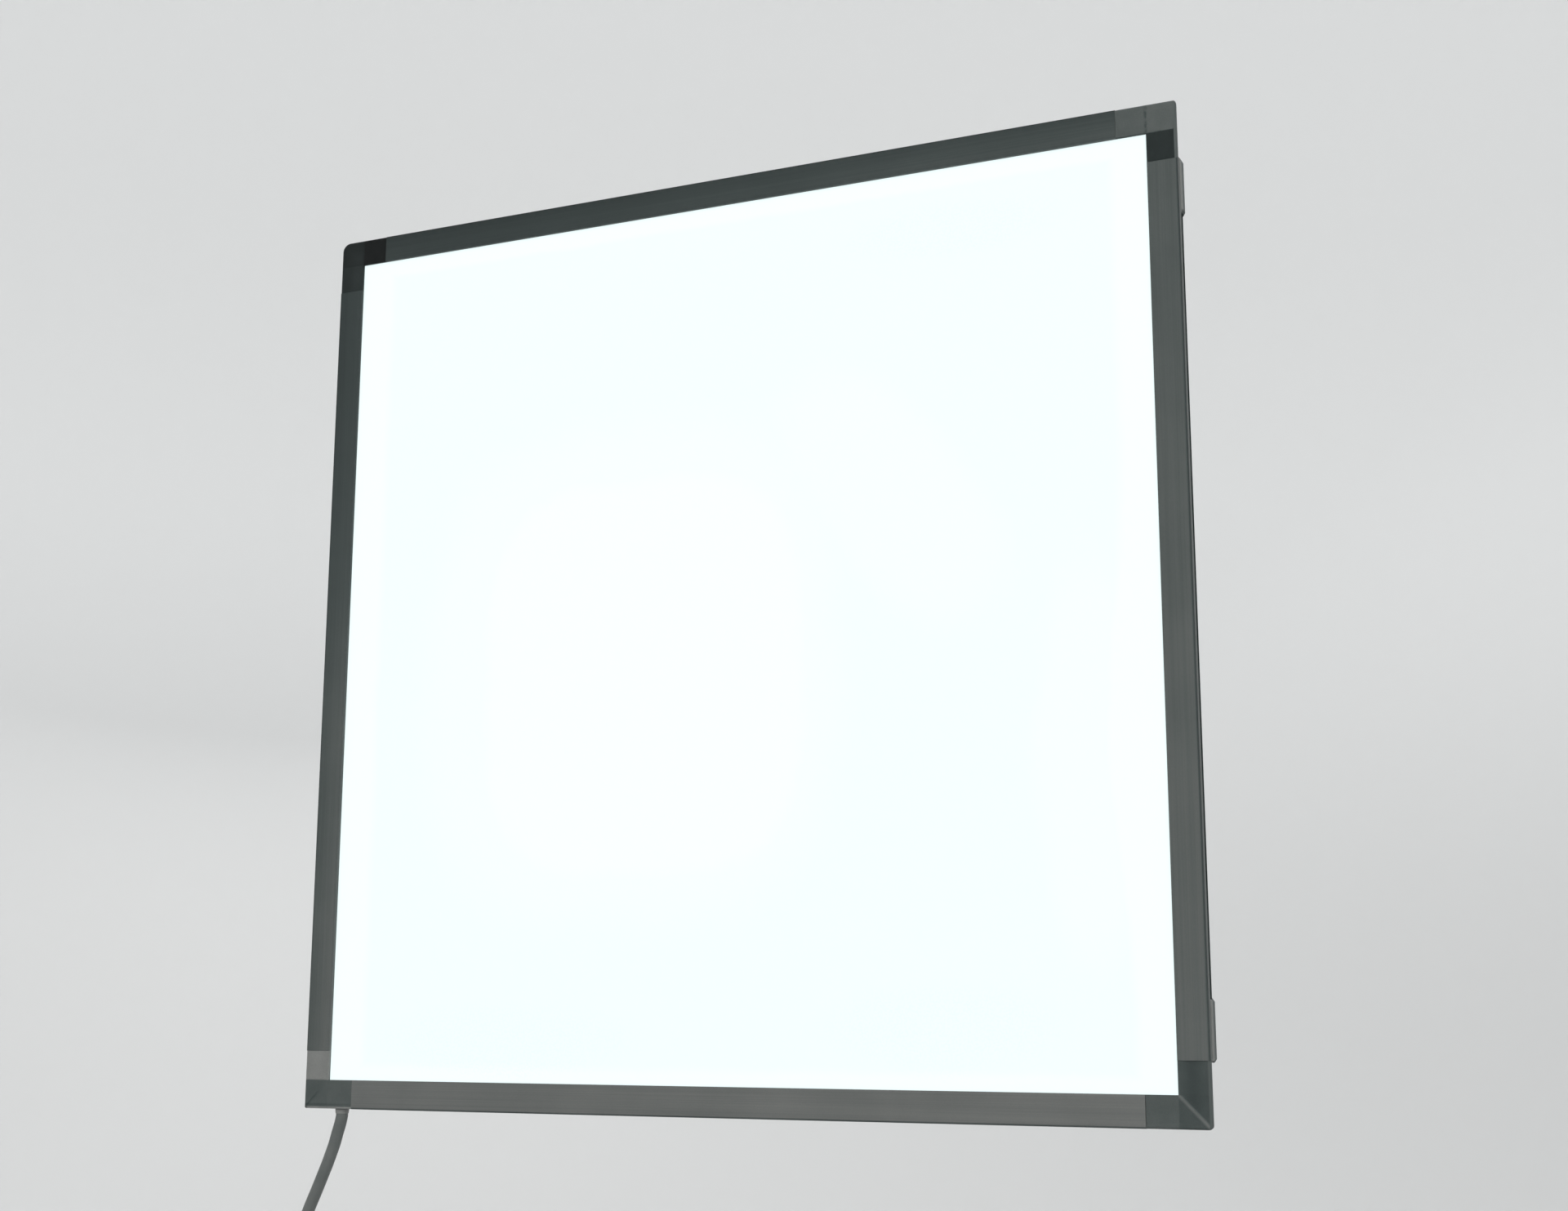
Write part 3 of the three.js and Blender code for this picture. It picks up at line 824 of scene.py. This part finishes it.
def mark_top_left(look, tone, at):
    """A lighter patch inside the square and down the leg along z."""
    patch = look.ramp(look.math("MINIMUM", at.a, at.b), 2.0, 8.0)
    patch = look.times(patch, look.less(1.0, at.past_a))
    return look.times(tone, look.between(patch, 0.95, 1.3))


CORNER_MARKS = {
    "bottom_left": mark_bottom_left,
    "top_left": mark_top_left,
    "top_right": mark_top_right,
    "bottom_right": mark_bottom_right,
}


def corner_look(name, signs, painted_light_tones):
    """Satin moulded plastic: each facet with its own tone of painted light and shade, and the corner's
    own marks.
    """
    look = Look("corner_" + name)
    a = look.less(OUTER, look.times(look.x, signs[0]))
    b = look.less(OUTER, look.times(look.z, signs[1]))
    wobble = look.times(look.less(look.noise(scale=0.9, detail=2), 0.5), 0.25)
    at = SimpleNamespace(a=a, b=b, gap=look.size(look.less(a, b)), wobble=wobble)
    at.past_a = look.ramp(look.add(a, wobble), SQUARE - 0.3, SQUARE + 0.3)
    at.past_b = look.ramp(look.add(b, wobble), SQUARE - 0.2, SQUARE + 0.2)
    # Painted light and shade: a tone for each facet.
    leg_x, square, leg_z = painted_light_tones
    tone = look.between(at.past_a, square, leg_x)
    tone = look.between(at.past_b, tone, leg_z)
    tone = CORNER_MARKS[name](look, tone, at)
    grain = look.noise(scale=4.5, detail=3)
    cloud = look.noise(scale=0.22, detail=2)
    tone = look.vary(tone, grain, GRAIN, 0.92, 1.08)
    tone = look.vary(tone, cloud, CLOUD, 0.95, 1.05)
    sides = look.times(look.ramp(cloud, *CLOUD, 0.95, 1.05), CORNER_SIDE_TONE)
    front = front_mask(look)
    tone = look.between(front, sides, tone)
    # Painted highlight on the outer rounding of the right-hand corners.
    if signs[0] > 0:
        rim = look.times(look.ramp(a, 1.0, 0.7), front)
        tone = look.between(rim, tone, CORNER_RIM_HIGHLIGHT)
    look.set(Base_Color=look.tinted(tone), Specular_IOR_Level=0.12)
    look.surface(grain, 0.42, 0.6, 0.03, 0.5)
    return look


def make_corners():
    for name, (signs, radius, painted_light_tones) in CORNERS.items():
        piece = new_object("moulded_corner_" + name, corner_mesh(name, signs, radius))
        for low, high in on_legs(signs, **SPIGOT):
            add_solid(piece, box_mesh(low, high), "UNION")
        for low, high in on_legs(signs, **RELIEF):
            add_solid(piece, box_mesh(low, high), "DIFFERENCE")
        if name == "bottom_left":
            profile = [(0, -1), (BORE_RADIUS, -1), (BORE_RADIUS, BORE_DEPTH), (0, BORE_DEPTH)]
            bore = revolve("bore", profile, (CORD_EXIT[0], CORD_EXIT[1], -HALF))
            add_solid(piece, bore, "DIFFERENCE")
        shade_below(piece.data, 28)
        join_frame(piece, "moulded_corner", "corner_" + name)
        corner_look(name, signs, painted_light_tones).paint(piece)


make_corners()


# The lit face and what is behind it

# Light that leaves the face: faintly cool inside, white at its edges, duller in a few smudges
COOL_GLOW = (0.768, 0.92, 0.92, 1)
WHITE_GLOW = (0.808, 0.92, 0.92, 1)
DULL_GLOW = (0.725, 0.90, 0.89, 1)


def band(look, distance, width, soft=2.5):
    """1 nearer to an edge than the width, and 0 farther in."""
    return look.ramp(distance, look.less(width, soft), look.add(width, soft), 1.0, 0.0)


def patch(look, x, z, centre, half, power, soft, turn=0.0):
    """1 inside a rounded patch with the given half sizes, turned by some degrees."""
    cos, sin = math.cos(math.radians(turn)), math.sin(math.radians(turn))
    from_x, from_z = look.less(x, centre[0]), look.less(z, centre[1])
    along = look.add(look.times(from_x, cos / half[0]), look.times(from_z, sin / half[0]))
    across = look.less(look.times(from_z, cos / half[1]), look.times(from_x, sin / half[1]))
    along = look.math("POWER", look.size(along), power)
    across = look.math("POWER", look.size(across), power)
    return look.ramp(look.add(along, across), 1 - soft, 1 + soft, 1.0, 0.0)


def edge_bands(look, warp):
    """White bands along the four edges, the right one wider below its middle."""
    x, z = look.add(look.x, look.times(warp, 0.12)), look.add(look.z, look.times(warp, 0.12))
    belly = look.near(look.z, -45.0, 90.0)
    return (
        band(look, look.add(x, LIT), 13.5),
        band(look, look.less(LIT, x), look.between(belly, 12.0, 19.0)),
        band(look, look.less(LIT, z), 6.6, 1.5),
        band(look, look.add(z, LIT), 5.0, 2.0),
    )


def dress_face():
    """Opal sheet lit from behind: white along its edges and in a soft patch, cooler between."""
    look = Look("lit_opal")
    drift = look.less(look.noise(scale=0.035, detail=3, roughness=0.6), 0.5)
    fine = look.less(look.noise(scale=0.2, detail=2), 0.5)
    warp = look.add(look.times(drift, 22.0), look.times(fine, 3.0))
    x, z = look.add(look.x, look.times(warp, 0.5)), look.less(look.z, look.times(warp, 0.4))
    blob = patch(look, x, z, (-31.0, -14.0), (63.5, 71.0), 3.4, 0.3)
    halo = patch(look, x, z, (-37.0, -12.0), (80.0, 87.0), 3.0, 0.4)
    lobe = patch(look, x, z, (62.0, 41.0), (52.0, 25.0), 2.4, 0.6, -51.0)
    shoulder = patch(look, x, z, (128.0, -50.0), (17.0, 62.0), 2.2, 0.5)
    halves = [look.times(value, 0.5) for value in (halo, lobe, shoulder)]
    white = look.most(*edge_bands(look, warp), blob, *halves)
    ripple = look.ramp(look.noise(scale=1.4, detail=1), 0.45, 0.6)
    smudge = look.most(
        patch(look, x, z, (84.0, 131.0), (36.0, 9.0), 2.0, 0.7),
        patch(look, x, z, (-82.0, -138.0), (48.0, 12.0), 2.0, 0.7),
        patch(look, x, z, (78.0, -133.0), (38.0, 13.0), 2.0, 0.7),
    )
    glow = look.mix(white, COOL_GLOW, WHITE_GLOW)
    glow = look.mix(look.times(look.times(smudge, ripple), 0.5), glow, DULL_GLOW)
    frost = look.noise(scale=9.0, detail=2)
    look.speckle(frost, (0.13, 0.14, 0.14), (0.16, 0.17, 0.17))
    look.set(Emission_Color=glow, Emission_Strength=1.0, Specular_IOR_Level=0.15)
    look.surface(frost, 0.5, 0.62, 0.02, 0.3)
    look.paint("front_diffuser")


def dress_diffuser_film():
    look = Look("haze_film")
    haze = look.noise(scale=1.5, detail=3)
    look.speckle(haze, (0.80, 0.82, 0.83), (0.90, 0.91, 0.92))
    look.set(Roughness=look.ramp(haze, *GRAIN, 0.35, 0.55))
    look.bump(look.noise(scale=7.0), 0.01, 0.4)
    look.paint("diffuser_film")


def dress_prism_film():
    """Fine ridges half a millimetre apart."""
    look = Look("prism_film")
    wave = look.math("SINE", look.times(look.x, 2 * math.pi / 0.5))
    ridge = look.between(wave, 0.5, 1.0)
    look.speckle(ridge, (0.78, 0.81, 0.82), (0.92, 0.93, 0.94))
    look.set(Roughness=look.ramp(look.noise(scale=1.1), *GRAIN, 0.18, 0.32))
    look.bump(ridge, 0.05, 0.5)
    look.paint("prism_film")


def dress_light_guide():
    """Clear acrylic with a grid of printed dots."""
    look = Look("dotted_guide")
    dots = look.ramp(look.cells(look.stretch(0.45, 0, 0.45), 1.0, 0.0), 0.16, 0.24, 1.0, 0.0)
    clear = look.mix(look.noise(scale=0.05), (0.62, 0.72, 0.74, 1), (0.72, 0.80, 0.82, 1))
    look.set(Base_Color=look.mix(dots, clear, (0.90, 0.92, 0.92, 1)), Specular_IOR_Level=0.6)
    look.set(Roughness=look.ramp(dots, 0.0, 1.0, 0.08, 0.6))
    look.bump(dots, 0.03, 0.4)
    look.paint("light_guide")


def dress_reflector():
    look = Look("white_reflector")
    cloud = look.noise(scale=2.5, detail=4)
    look.speckle(cloud, (0.86, 0.86, 0.85), (0.93, 0.93, 0.92))
    look.surface(cloud, 0.55, 0.75, 0.02, 0.3)
    look.paint("reflector_sheet")


def dress_foam():
    look = Look("cell_foam")
    pores = look.cells(scale=2.2)
    look.speckle(pores, (0.018, 0.019, 0.020), (0.055, 0.058, 0.060))
    look.set(Roughness=0.95)
    look.bump(pores, 0.25, 0.8)
    look.paint("foam_pad")


def dress_led_boards():
    """White solder mask, copper pads between the LEDs and the yellow face of each LED."""
    look = Look("led_board")
    pitch, length, soft = 7.9, 3.2, 0.1
    led_edge = pitch / 2 - length / 2
    phase = look.math("PINGPONG", look.add(look.x, pitch * 100), pitch / 2)
    at_led = look.ramp(phase, led_edge - soft, led_edge + soft)
    height = look.size(look.z)
    proud = look.ramp(height, OUTER - 3.45, OUTER - 3.7)
    tip = look.times(look.ramp(height, OUTER - 5.05, OUTER - 5.09), at_led)
    fibre = look.noise(scale=3.0, detail=3)
    pads = look.times(look.ramp(phase, 0.9, 1.1, 1.0, 0.0), look.less(1.0, proud))
    colour = look.mix(fibre, (0.74, 0.76, 0.71, 1), (0.82, 0.84, 0.79, 1))
    colour = look.mix(pads, colour, (0.72, 0.50, 0.20, 1))
    colour = look.mix(tip, colour, (0.95, 0.70, 0.10, 1))
    look.set(Base_Color=colour, Metallic=look.times(pads, 0.9))
    look.surface(fibre, 0.35, 0.55, 0.02, 0.4)
    look.paint("led_strip_bottom", "led_strip_top")


def dress_wires():
    """Red and black insulation."""
    colours = {
        "positive": ((0.30, 0.012, 0.010), (0.42, 0.02, 0.018)),
        "negative": ((0.010, 0.010, 0.010), (0.022, 0.022, 0.022)),
    }
    for word, (dark, light) in colours.items():
        look = Look("wire_" + word)
        mottle = look.noise(scale=2.0, detail=3)
        look.speckle(mottle, dark, light)
        look.surface(mottle, 0.35, 0.55, 0.02, 0.4)
        for kind in ("lead", "jumper"):
            look.paint(f"{kind}_wire_{word}")


dress_face()
dress_diffuser_film()
dress_prism_film()
dress_light_guide()
dress_reflector()
dress_foam()
dress_led_boards()
dress_wires()


# Back cover and its screws

SCREW_PLACES = (-110, 0, 110)
SCREW_IN = OUTER - 8.2
COVER_WALL = 5.3
COVER_FLOOR = 1.0

# A countersunk hole and a flush screw: (radius, height), with 0 at the rear face
HOLE = [(0, -3), (1.1, -3), (1.1, -1.05), (2.02, -0.1), (2.2, 0), (2.2, 0.5), (0, 0.5)]
SCREW_SIDES = 48
SCREW_TIP = [(0.05, -2.95), (0.55, -2.9), (0.78, -2.6)]
THREAD_FROM = -2.5
THREAD_TO = -1.15
THREAD_PITCH = 0.28
SCREW_HEAD = [(0.85, -1.05), (1.80, -0.12), (1.88, -0.06), (1.88, -0.03), (1.82, 0.0)]
SOCKET = 0.80


def screw_centres():
    """(node name, x, z) in millimetres; each side is the bottom one turned about y."""
    for turn, side in enumerate(SIDES):
        for i, along in enumerate(SCREW_PLACES):
            x, z = along, -SCREW_IN
            for _ in range(turn):
                x, z = z, -x
            yield f"cover_screw_{side}_{i + 1}", x, z


def rounded_square(size, radius, steps=8):
    """Points round a square of half that size with rounded corners."""
    points = []
    for quarter, (sx, sz) in enumerate(((1, -1), (1, 1), (-1, 1), (-1, -1))):
        for i in range(steps + 1):
            angle = -math.pi / 2 + (quarter + i / steps) * math.pi / 2
            x = sx * (size - radius) + radius * math.cos(angle)
            z = sz * (size - radius) + radius * math.sin(angle)
            points.append((x, z))
    return points


def cover_mesh(half, depth):
    """The tray: from its floor inside, up over its rim and round to the rear face."""
    # (half size, corner radius, distance in front of the rear face)
    rings = [
        (half - COVER_WALL, 1.5, COVER_FLOOR),
        (half - COVER_WALL, 1.5, depth - 0.1),
        (half - COVER_WALL - 0.1, 1.5, depth),
        (half - 0.1, 1.5, depth),
        (half, 1.5, depth - 0.1),
        (half, 1.5, 0.45),
        (half - 0.06, 1.5, 0.22),
        (half - 0.2, 1.45, 0.07),
        (half - 0.42, 1.4, 0.0),
    ]
    vertices = []
    for size, radius, ahead in rings:
        for x, z in rounded_square(size, radius):
            vertices.append((x * MM, REAR - ahead * MM, z * MM))
    count = len(vertices) // len(rings)
    faces = bands(range(0, len(vertices), count), count)
    faces += [cap(0, count), cap(len(vertices) - count, count)]
    return mesh_of("rear_cover", vertices, faces)


def make_cover():
    """The tray cover with its twelve countersunk holes."""
    low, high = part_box("back_cover")
    half = high.x / MM
    piece = new_object("rear_cover", cover_mesh(half, (high.y - low.y) / MM))
    holes = [revolve("hole", HOLE, (x * MM, REAR, z * MM), "y", 32) for _, x, z in screw_centres()]
    add_solid(piece, joined("holes", holes), "DIFFERENCE")
    shade_below(piece.data, 28)
    join_frame(piece, "rear_cover", "back_cover")
    cover_look(half).paint(piece)


def cover_look(half):
    """Brushed sheet: long lines, cloudy tone, a few scratches, smears and a brighter edge."""
    look = Look("brushed_cover")
    lines = look.noise(look.stretch(0.02, 1.0, 3.0), 1.0, 4.0, 0.65)
    cloud = look.noise(scale=0.018, detail=4)
    grain = look.noise(scale=5.0, detail=2)
    scratch = look.ramp(look.noise(look.stretch(0.09, 1.0, 1.6), 1.0, 5.0, 0.7), 0.66, 0.74)
    smear = look.ramp(look.noise(scale=0.05, detail=5, roughness=0.7), 0.5, 0.75)
    tone = look.vary(look.ramp(lines, *LINES, 0.105, 0.135), cloud, CLOUD, 0.93, 1.07)
    tone = look.add(tone, look.times(scratch, 0.025))
    edge = look.ramp(look.most(look.size(look.x), look.size(look.z)), half - 0.6, half - 0.1)
    tone = look.times(tone, look.between(edge, 1.0, 1.5))
    look.set(Base_Color=look.tinted(tone), Metallic=0.6, Specular_IOR_Level=0.4)
    rough = look.ramp(look.add(lines, grain), 0.6, 1.4, 0.34, 0.48)
    look.set(Roughness=look.add(rough, look.times(smear, 0.08)))
    look.bump(look.add(look.times(lines, 0.8), look.times(scratch, 0.3)), 0.02, 0.5)
    return look


def screw_mesh(name, x, z):
    """A countersunk screw with a hexagon socket, its head flush with the cover."""
    vertices = []

    def put(reach, angle, height):
        across, up = x + reach * math.cos(angle), z + reach * math.sin(angle)
        vertices.append((across * MM, REAR + height * MM, up * MM))

    def ring(radius, height, hexagon=False):
        start = len(vertices)
        for i in range(SCREW_SIDES):
            angle = 2 * math.pi * i / SCREW_SIDES
            reach = radius
            if hexagon:
                face = (angle + math.pi / 6) % (math.pi / 3) - math.pi / 6
                reach = radius * math.cos(math.pi / 6) / math.cos(face)
            put(reach, angle, height)
        return start

    def fan(start, height):
        centre = len(vertices)
        put(0, 0, height)
        return [(start + i, start + (i + 1) % SCREW_SIDES, centre) for i in range(SCREW_SIDES)]

    rows = [ring(*point) for point in SCREW_TIP]
    height = THREAD_FROM
    while height < THREAD_TO:
        rows += [ring(0.90, height), ring(0.76, height + THREAD_PITCH / 2)]
        height += THREAD_PITCH
    rows += [ring(*point) for point in SCREW_HEAD]
    rows += [ring(SOCKET + 0.10, 0.0), ring(SOCKET, -0.06, True), ring(SOCKET, -0.75, True)]
    rows.append(ring(0.5, -0.82))
    faces = bands(rows, SCREW_SIDES) + fan(rows[0], -2.95) + fan(rows[-1], -0.9)
    return mesh_of(name, vertices, faces)


def make_screws():
    look = Look("screw_steel")
    turned = look.noise(scale=6.0, detail=3)
    stain = look.ramp(look.noise(scale=0.9, detail=3), 0.35, 0.7)
    look.speckle(stain, (0.34, 0.35, 0.36), (0.46, 0.47, 0.48))
    look.set(Metallic=1.0)
    look.surface(turned, 0.22, 0.38, 0.01, 0.4)
    for node, x, z in screw_centres():
        name = node.replace("cover_screw", "screw")
        look.paint(new_piece(name, screw_mesh(node, x, z), node, "screw_steel", 35))


make_cover()
make_screws()


# What is on the lead


def make_grommet():
    """The collar where the lead leaves the frame: a neck in the wall and a flared lip outside."""
    profile = [
        (1.2, 2.7), (2.1, 2.7), (2.3, 2.5), (2.3, -0.02), (2.36, -0.05), (2.42, -0.12),
        (2.43, -0.3), (2.40, -0.7), (2.36, -1.1), (2.30, -1.45), (2.25, -1.6), (2.19, -1.64),
        (2.16, -1.55), (2.12, -1.0), (1.2, -0.9), (1.2, 2.7),
    ]
    mesh = revolve("lead_grommet", profile, (CORD_EXIT[0], CORD_EXIT[1], -HALF))
    piece = new_piece("lead_grommet", mesh, "cable_grommet", "grey_cord", 50)
    look = Look("grommet_rubber")
    grain = look.noise(scale=4.0, detail=3)
    look.set(Base_Color=look.tinted(look.ramp(grain, *GRAIN, 0.17, 0.20)))
    look.surface(grain, 0.45, 0.6, 0.03, 0.5)
    look.paint(piece)


# Radii of the plug's grip and of its boot at each end, and the boot's length
GRIP_RADIUS = 4.08
BOOT_LOW = 3.0
BOOT_HIGH = 2.25
BOOT_LENGTH = 9

# One rib: the share of its pitch, and how far out it stands
RIB = ((0.0, 0), (0.12, 0), (0.22, 0.6), (0.35, 1), (0.65, 1), (0.78, 0.6), (0.88, 0))


def ribs(base, low, high, count, depth):
    """Rounded ribs between two heights: (radius, height) pairs round a base radius."""
    points = []
    pitch = (high - low) / count
    for i in range(count):
        for share, out in RIB:
            at = low + (i + share) * pitch
            points.append((base(at) + out * depth, at))
    return points


def make_plug_grip(x, y):
    """The moulded grip: a stepped nose, six finger ribs, a shoulder and a ribbed boot."""
    top = (PLUG_HIGH.z - PLUG_LOW.z) / MM
    boot = top - BOOT_LENGTH

    def taper(at):
        return BOOT_LOW - (at - boot) / BOOT_LENGTH * (BOOT_LOW - BOOT_HIGH)

    profile = [(0, 0.15), (0.6, 0.15), (2.9, 0.15), (3.0, 0.0), (3.75, 0.0), (4.05, 0.12)]
    profile += [(4.2, 0.5), (4.22, 1.2)]
    profile += ribs(lambda at: GRIP_RADIUS, 2.2, 11.0, 6, 0.32)
    profile += [(4.12, 11.4), (4.3, 12.4), (4.42, 14.0), (4.4, 15.6), (4.2, 16.9), (3.8, 17.7)]
    profile += [(3.2, 18.1)]
    profile += ribs(taper, boot + 0.3, top - 1.2, 5, 0.38)
    profile += [(2.45, top - 0.9), (2.4, top - 0.1), (2.25, top), (2.05, top - 0.1)]
    profile += [(1.9, top - 1.5), (0, top - 1.5)]
    mesh = revolve("plug_grip", profile, (x, y, PLUG_LOW.z), "z", 64)
    piece = new_piece("plug_grip", mesh, "plug_body", "black_mould", 50)
    look = Look("plug_rubber")
    grain = look.noise(scale=4.0, detail=3)
    dust = look.ramp(look.noise(scale=0.5, detail=4), 0.5, 0.8)
    tone = look.add(look.ramp(grain, *GRAIN, 0.016, 0.024), look.times(dust, 0.012))
    look.set(Base_Color=look.scaled((0.97, 1.0, 1.03), tone))
    look.surface(grain, 0.42, 0.6, 0.04, 0.5)
    look.paint(piece)


def make_plug_sleeve(x, y, tall):
    """The nickel barrel, with a groove near the grip."""
    profile = [
        (2.3, 0.1), (2.38, 0.0), (2.62, 0.0), (2.72, 0.12), (2.75, 0.3), (2.75, tall - 1.4),
        (2.68, tall - 1.3), (2.68, tall - 1.0), (2.75, tall - 0.9), (2.75, tall), (2.3, tall),
        (2.3, 0.1),
    ]
    mesh = revolve("plug_sleeve", profile, (x, y, BARREL_LOW.z), "z", 64)
    piece = new_piece("plug_sleeve", mesh, "plug_barrel", "plug_nickel", 40)
    look = Look("bright_nickel")
    turned = look.noise(look.stretch(0.4, 0.4, 6.0), 1.0, 3.0)
    spots = look.noise(scale=1.2, detail=3)
    look.speckle(spots, (0.40, 0.405, 0.41), (0.50, 0.50, 0.49))
    look.set(Metallic=1.0, Roughness=look.ramp(turned, *LINES, 0.14, 0.26))
    look.bump(turned, 0.01, 0.4)
    look.paint(piece)


def make_plug_core(x, y, tall):
    """The insulating tube inside the barrel."""
    profile = [
        (1.05, 0.4), (1.2, 0.2), (2.0, 0.2), (2.15, 0.35), (2.15, tall - 0.2),
        (1.05, tall - 0.2), (1.05, 0.4),
    ]
    mesh = revolve("plug_core", profile, (x, y, BARREL_LOW.z))
    piece = new_piece("plug_core", mesh, "plug_insulator", "plug_tip", 40)
    look = Look("yellow_core")
    mottle = look.noise(scale=2.0, detail=3)
    look.speckle(mottle, (0.60, 0.36, 0.03), (0.72, 0.47, 0.05))
    look.surface(mottle, 0.4, 0.55, 0.02, 0.4)
    look.paint(piece)


def make_plug():
    x, y = (PLUG_LOW.x + PLUG_HIGH.x) / 2, (PLUG_LOW.y + PLUG_HIGH.y) / 2
    tall = (BARREL_HIGH.z - BARREL_LOW.z) / MM
    make_plug_grip(x, y)
    make_plug_sleeve(x, y, tall)
    make_plug_core(x, y, tall)


# The tie round the turns, in millimetres outwards and ahead from the middle of the turns
TIE_ANGLE = math.radians(8)
TIE_OUT = 6.95
TIE_BACK = 6.9
TIE_FRONT = 8.1
TIE_BEND = 2.4
TIE_THICK = 0.9
TIE_WIDE = 5.0
TIE_RING = 6
LAP_STEPS = 12


def tie_outline(grow):
    """Closed path round the turns, as (out, ahead), from the outer side's front corner."""
    points = []
    corners = [(TIE_OUT, TIE_FRONT), (-TIE_OUT, TIE_FRONT), (-TIE_OUT, -TIE_BACK), (TIE_OUT, -TIE_BACK)]
    for quarter, (out, ahead) in enumerate(corners):
        middle_out = out - math.copysign(TIE_BEND, out)
        middle_ahead = ahead - math.copysign(TIE_BEND, ahead)
        for i in range(7):
            angle = math.radians(90 * quarter + 90 * i / 6)
            reach = TIE_BEND + grow
            point = (middle_out + reach * math.cos(angle), middle_ahead + reach * math.sin(angle))
            points.append(point)
    return points


def tie_place(out, ahead, along):
    """A place given outwards, ahead and along the lead, in millimetres from the turns' middle."""
    outwards = Vector((-math.cos(TIE_ANGLE), 0, math.sin(TIE_ANGLE)))
    lengthwise = Vector((-math.sin(TIE_ANGLE), 0, -math.cos(TIE_ANGLE)))
    centre = COIL_CENTRE + outwards * COIL_MEAN
    return centre + (outwards * out + Vector((0, -1, 0)) * ahead + lengthwise * along) * MM


def tie_band():
    """The strap itself, its outer edges eased."""
    eased = TIE_WIDE - 0.25
    section = [(-TIE_WIDE, 0.0), (TIE_WIDE, 0.0), (TIE_WIDE, 0.7), (eased, 1.0), (-eased, 1.0)]
    section.append((-TIE_WIDE, 0.7))
    vertices = []
    for (in_out, in_ahead), (out, ahead) in zip(tie_outline(0.0), tie_outline(TIE_THICK)):
        for along, share in section:
            place_out = in_out + (out - in_out) * share
            place_ahead = in_ahead + (ahead - in_ahead) * share
            vertices.append(tie_place(place_out, place_ahead, along))
    starts = [*range(0, len(vertices), TIE_RING), 0]
    return mesh_of("tie_band", vertices, bands(starts, TIE_RING))


def tie_lap():
    """The lapped end, on the outer side, from the rear corner nearly to the front one."""
    low, high = 1.5 - TIE_BACK, TIE_FRONT - 2.6
    vertices = []
    for i in range(LAP_STEPS + 1):
        share = i / LAP_STEPS
        ahead = low + (high - low) * share
        out = TIE_OUT + TIE_THICK + 0.02 + 0.18 * smooth((share - 0.8) / 0.2)
        narrow = 0.35 * smooth((i - 10) / 2) * TIE_WIDE
        top = 0.75 * smooth(min(i + 0.4, LAP_STEPS + 0.4 - i) / 1.2)
        edge = TIE_WIDE - narrow
        section = [(-edge, 0.0), (edge, 0.0), (edge, top * 0.7), (edge - 0.3, top)]
        section += [(0.3 - edge, top), (-edge, top * 0.7)]
        for along, up in section:
            vertices.append(tie_place(out + up, ahead, along))
    faces = bands(range(0, len(vertices), TIE_RING), TIE_RING)
    faces += [cap(0, TIE_RING), cap(len(vertices) - TIE_RING, TIE_RING)]
    return mesh_of("tie_tail", vertices, faces)


def tie_look():
    """Black woven strap with a little fuzz."""
    look = Look("woven_strap")
    sin, cos = math.sin(TIE_ANGLE), math.cos(TIE_ANGLE)
    lengthwise = look.add(look.times(look.x, -sin), look.times(look.z, -cos))
    outwards = look.add(look.times(look.x, -cos), look.times(look.z, sin))
    warp = look.math("SINE", look.times(lengthwise, 2 * math.pi / 0.55))
    weft = look.math("SINE", look.times(look.add(outwards, look.y), 2 * math.pi / 0.7))
    weave = look.between(look.times(warp, weft), 0.5, 1.0)
    fuzz = look.noise(scale=7.0, detail=3)
    tone = look.ramp(look.add(weave, look.times(fuzz, 0.5)), 0.3, 1.2, 0.010, 0.032)
    look.set(Base_Color=look.scaled((1.0, 1.0, 1.02), tone), Roughness=0.9)
    look.set(Specular_IOR_Level=0.2, Sheen_Weight=0.25)
    look.bump(look.add(look.times(weave, 0.7), look.times(fuzz, 0.3)), 0.25, 0.8)
    return look


def make_tie():
    """A hook-and-loop strap round all the turns, its end lapped over outside."""
    mesh = joined("tie_strap", [tie_band(), tie_lap()])
    piece = new_piece("tie_strap", mesh, "cable_tie", "woven_tie", 45)
    tie_look().paint(piece)


def dress_cord():
    """Satin PVC: cloudy tone, fine grain and a little dust."""
    look = Look("cord_jacket")
    grain = look.noise(scale=3.5, detail=3)
    cloud = look.noise(scale=0.12, detail=3)
    dust = look.ramp(look.noise(scale=0.9, detail=5, roughness=0.7), 0.58, 0.78)
    tone = look.vary(look.ramp(cloud, *CLOUD, 0.100, 0.122), grain, GRAIN, 0.93, 1.07)
    tone = look.add(tone, look.times(dust, 0.012))
    look.set(Base_Color=look.tinted(tone), Specular_IOR_Level=0.4)
    look.surface(grain, 0.42, 0.58, 0.04, 0.5)
    look.paint(cord)


make_grommet()
make_plug()
make_tie()
dress_cord()
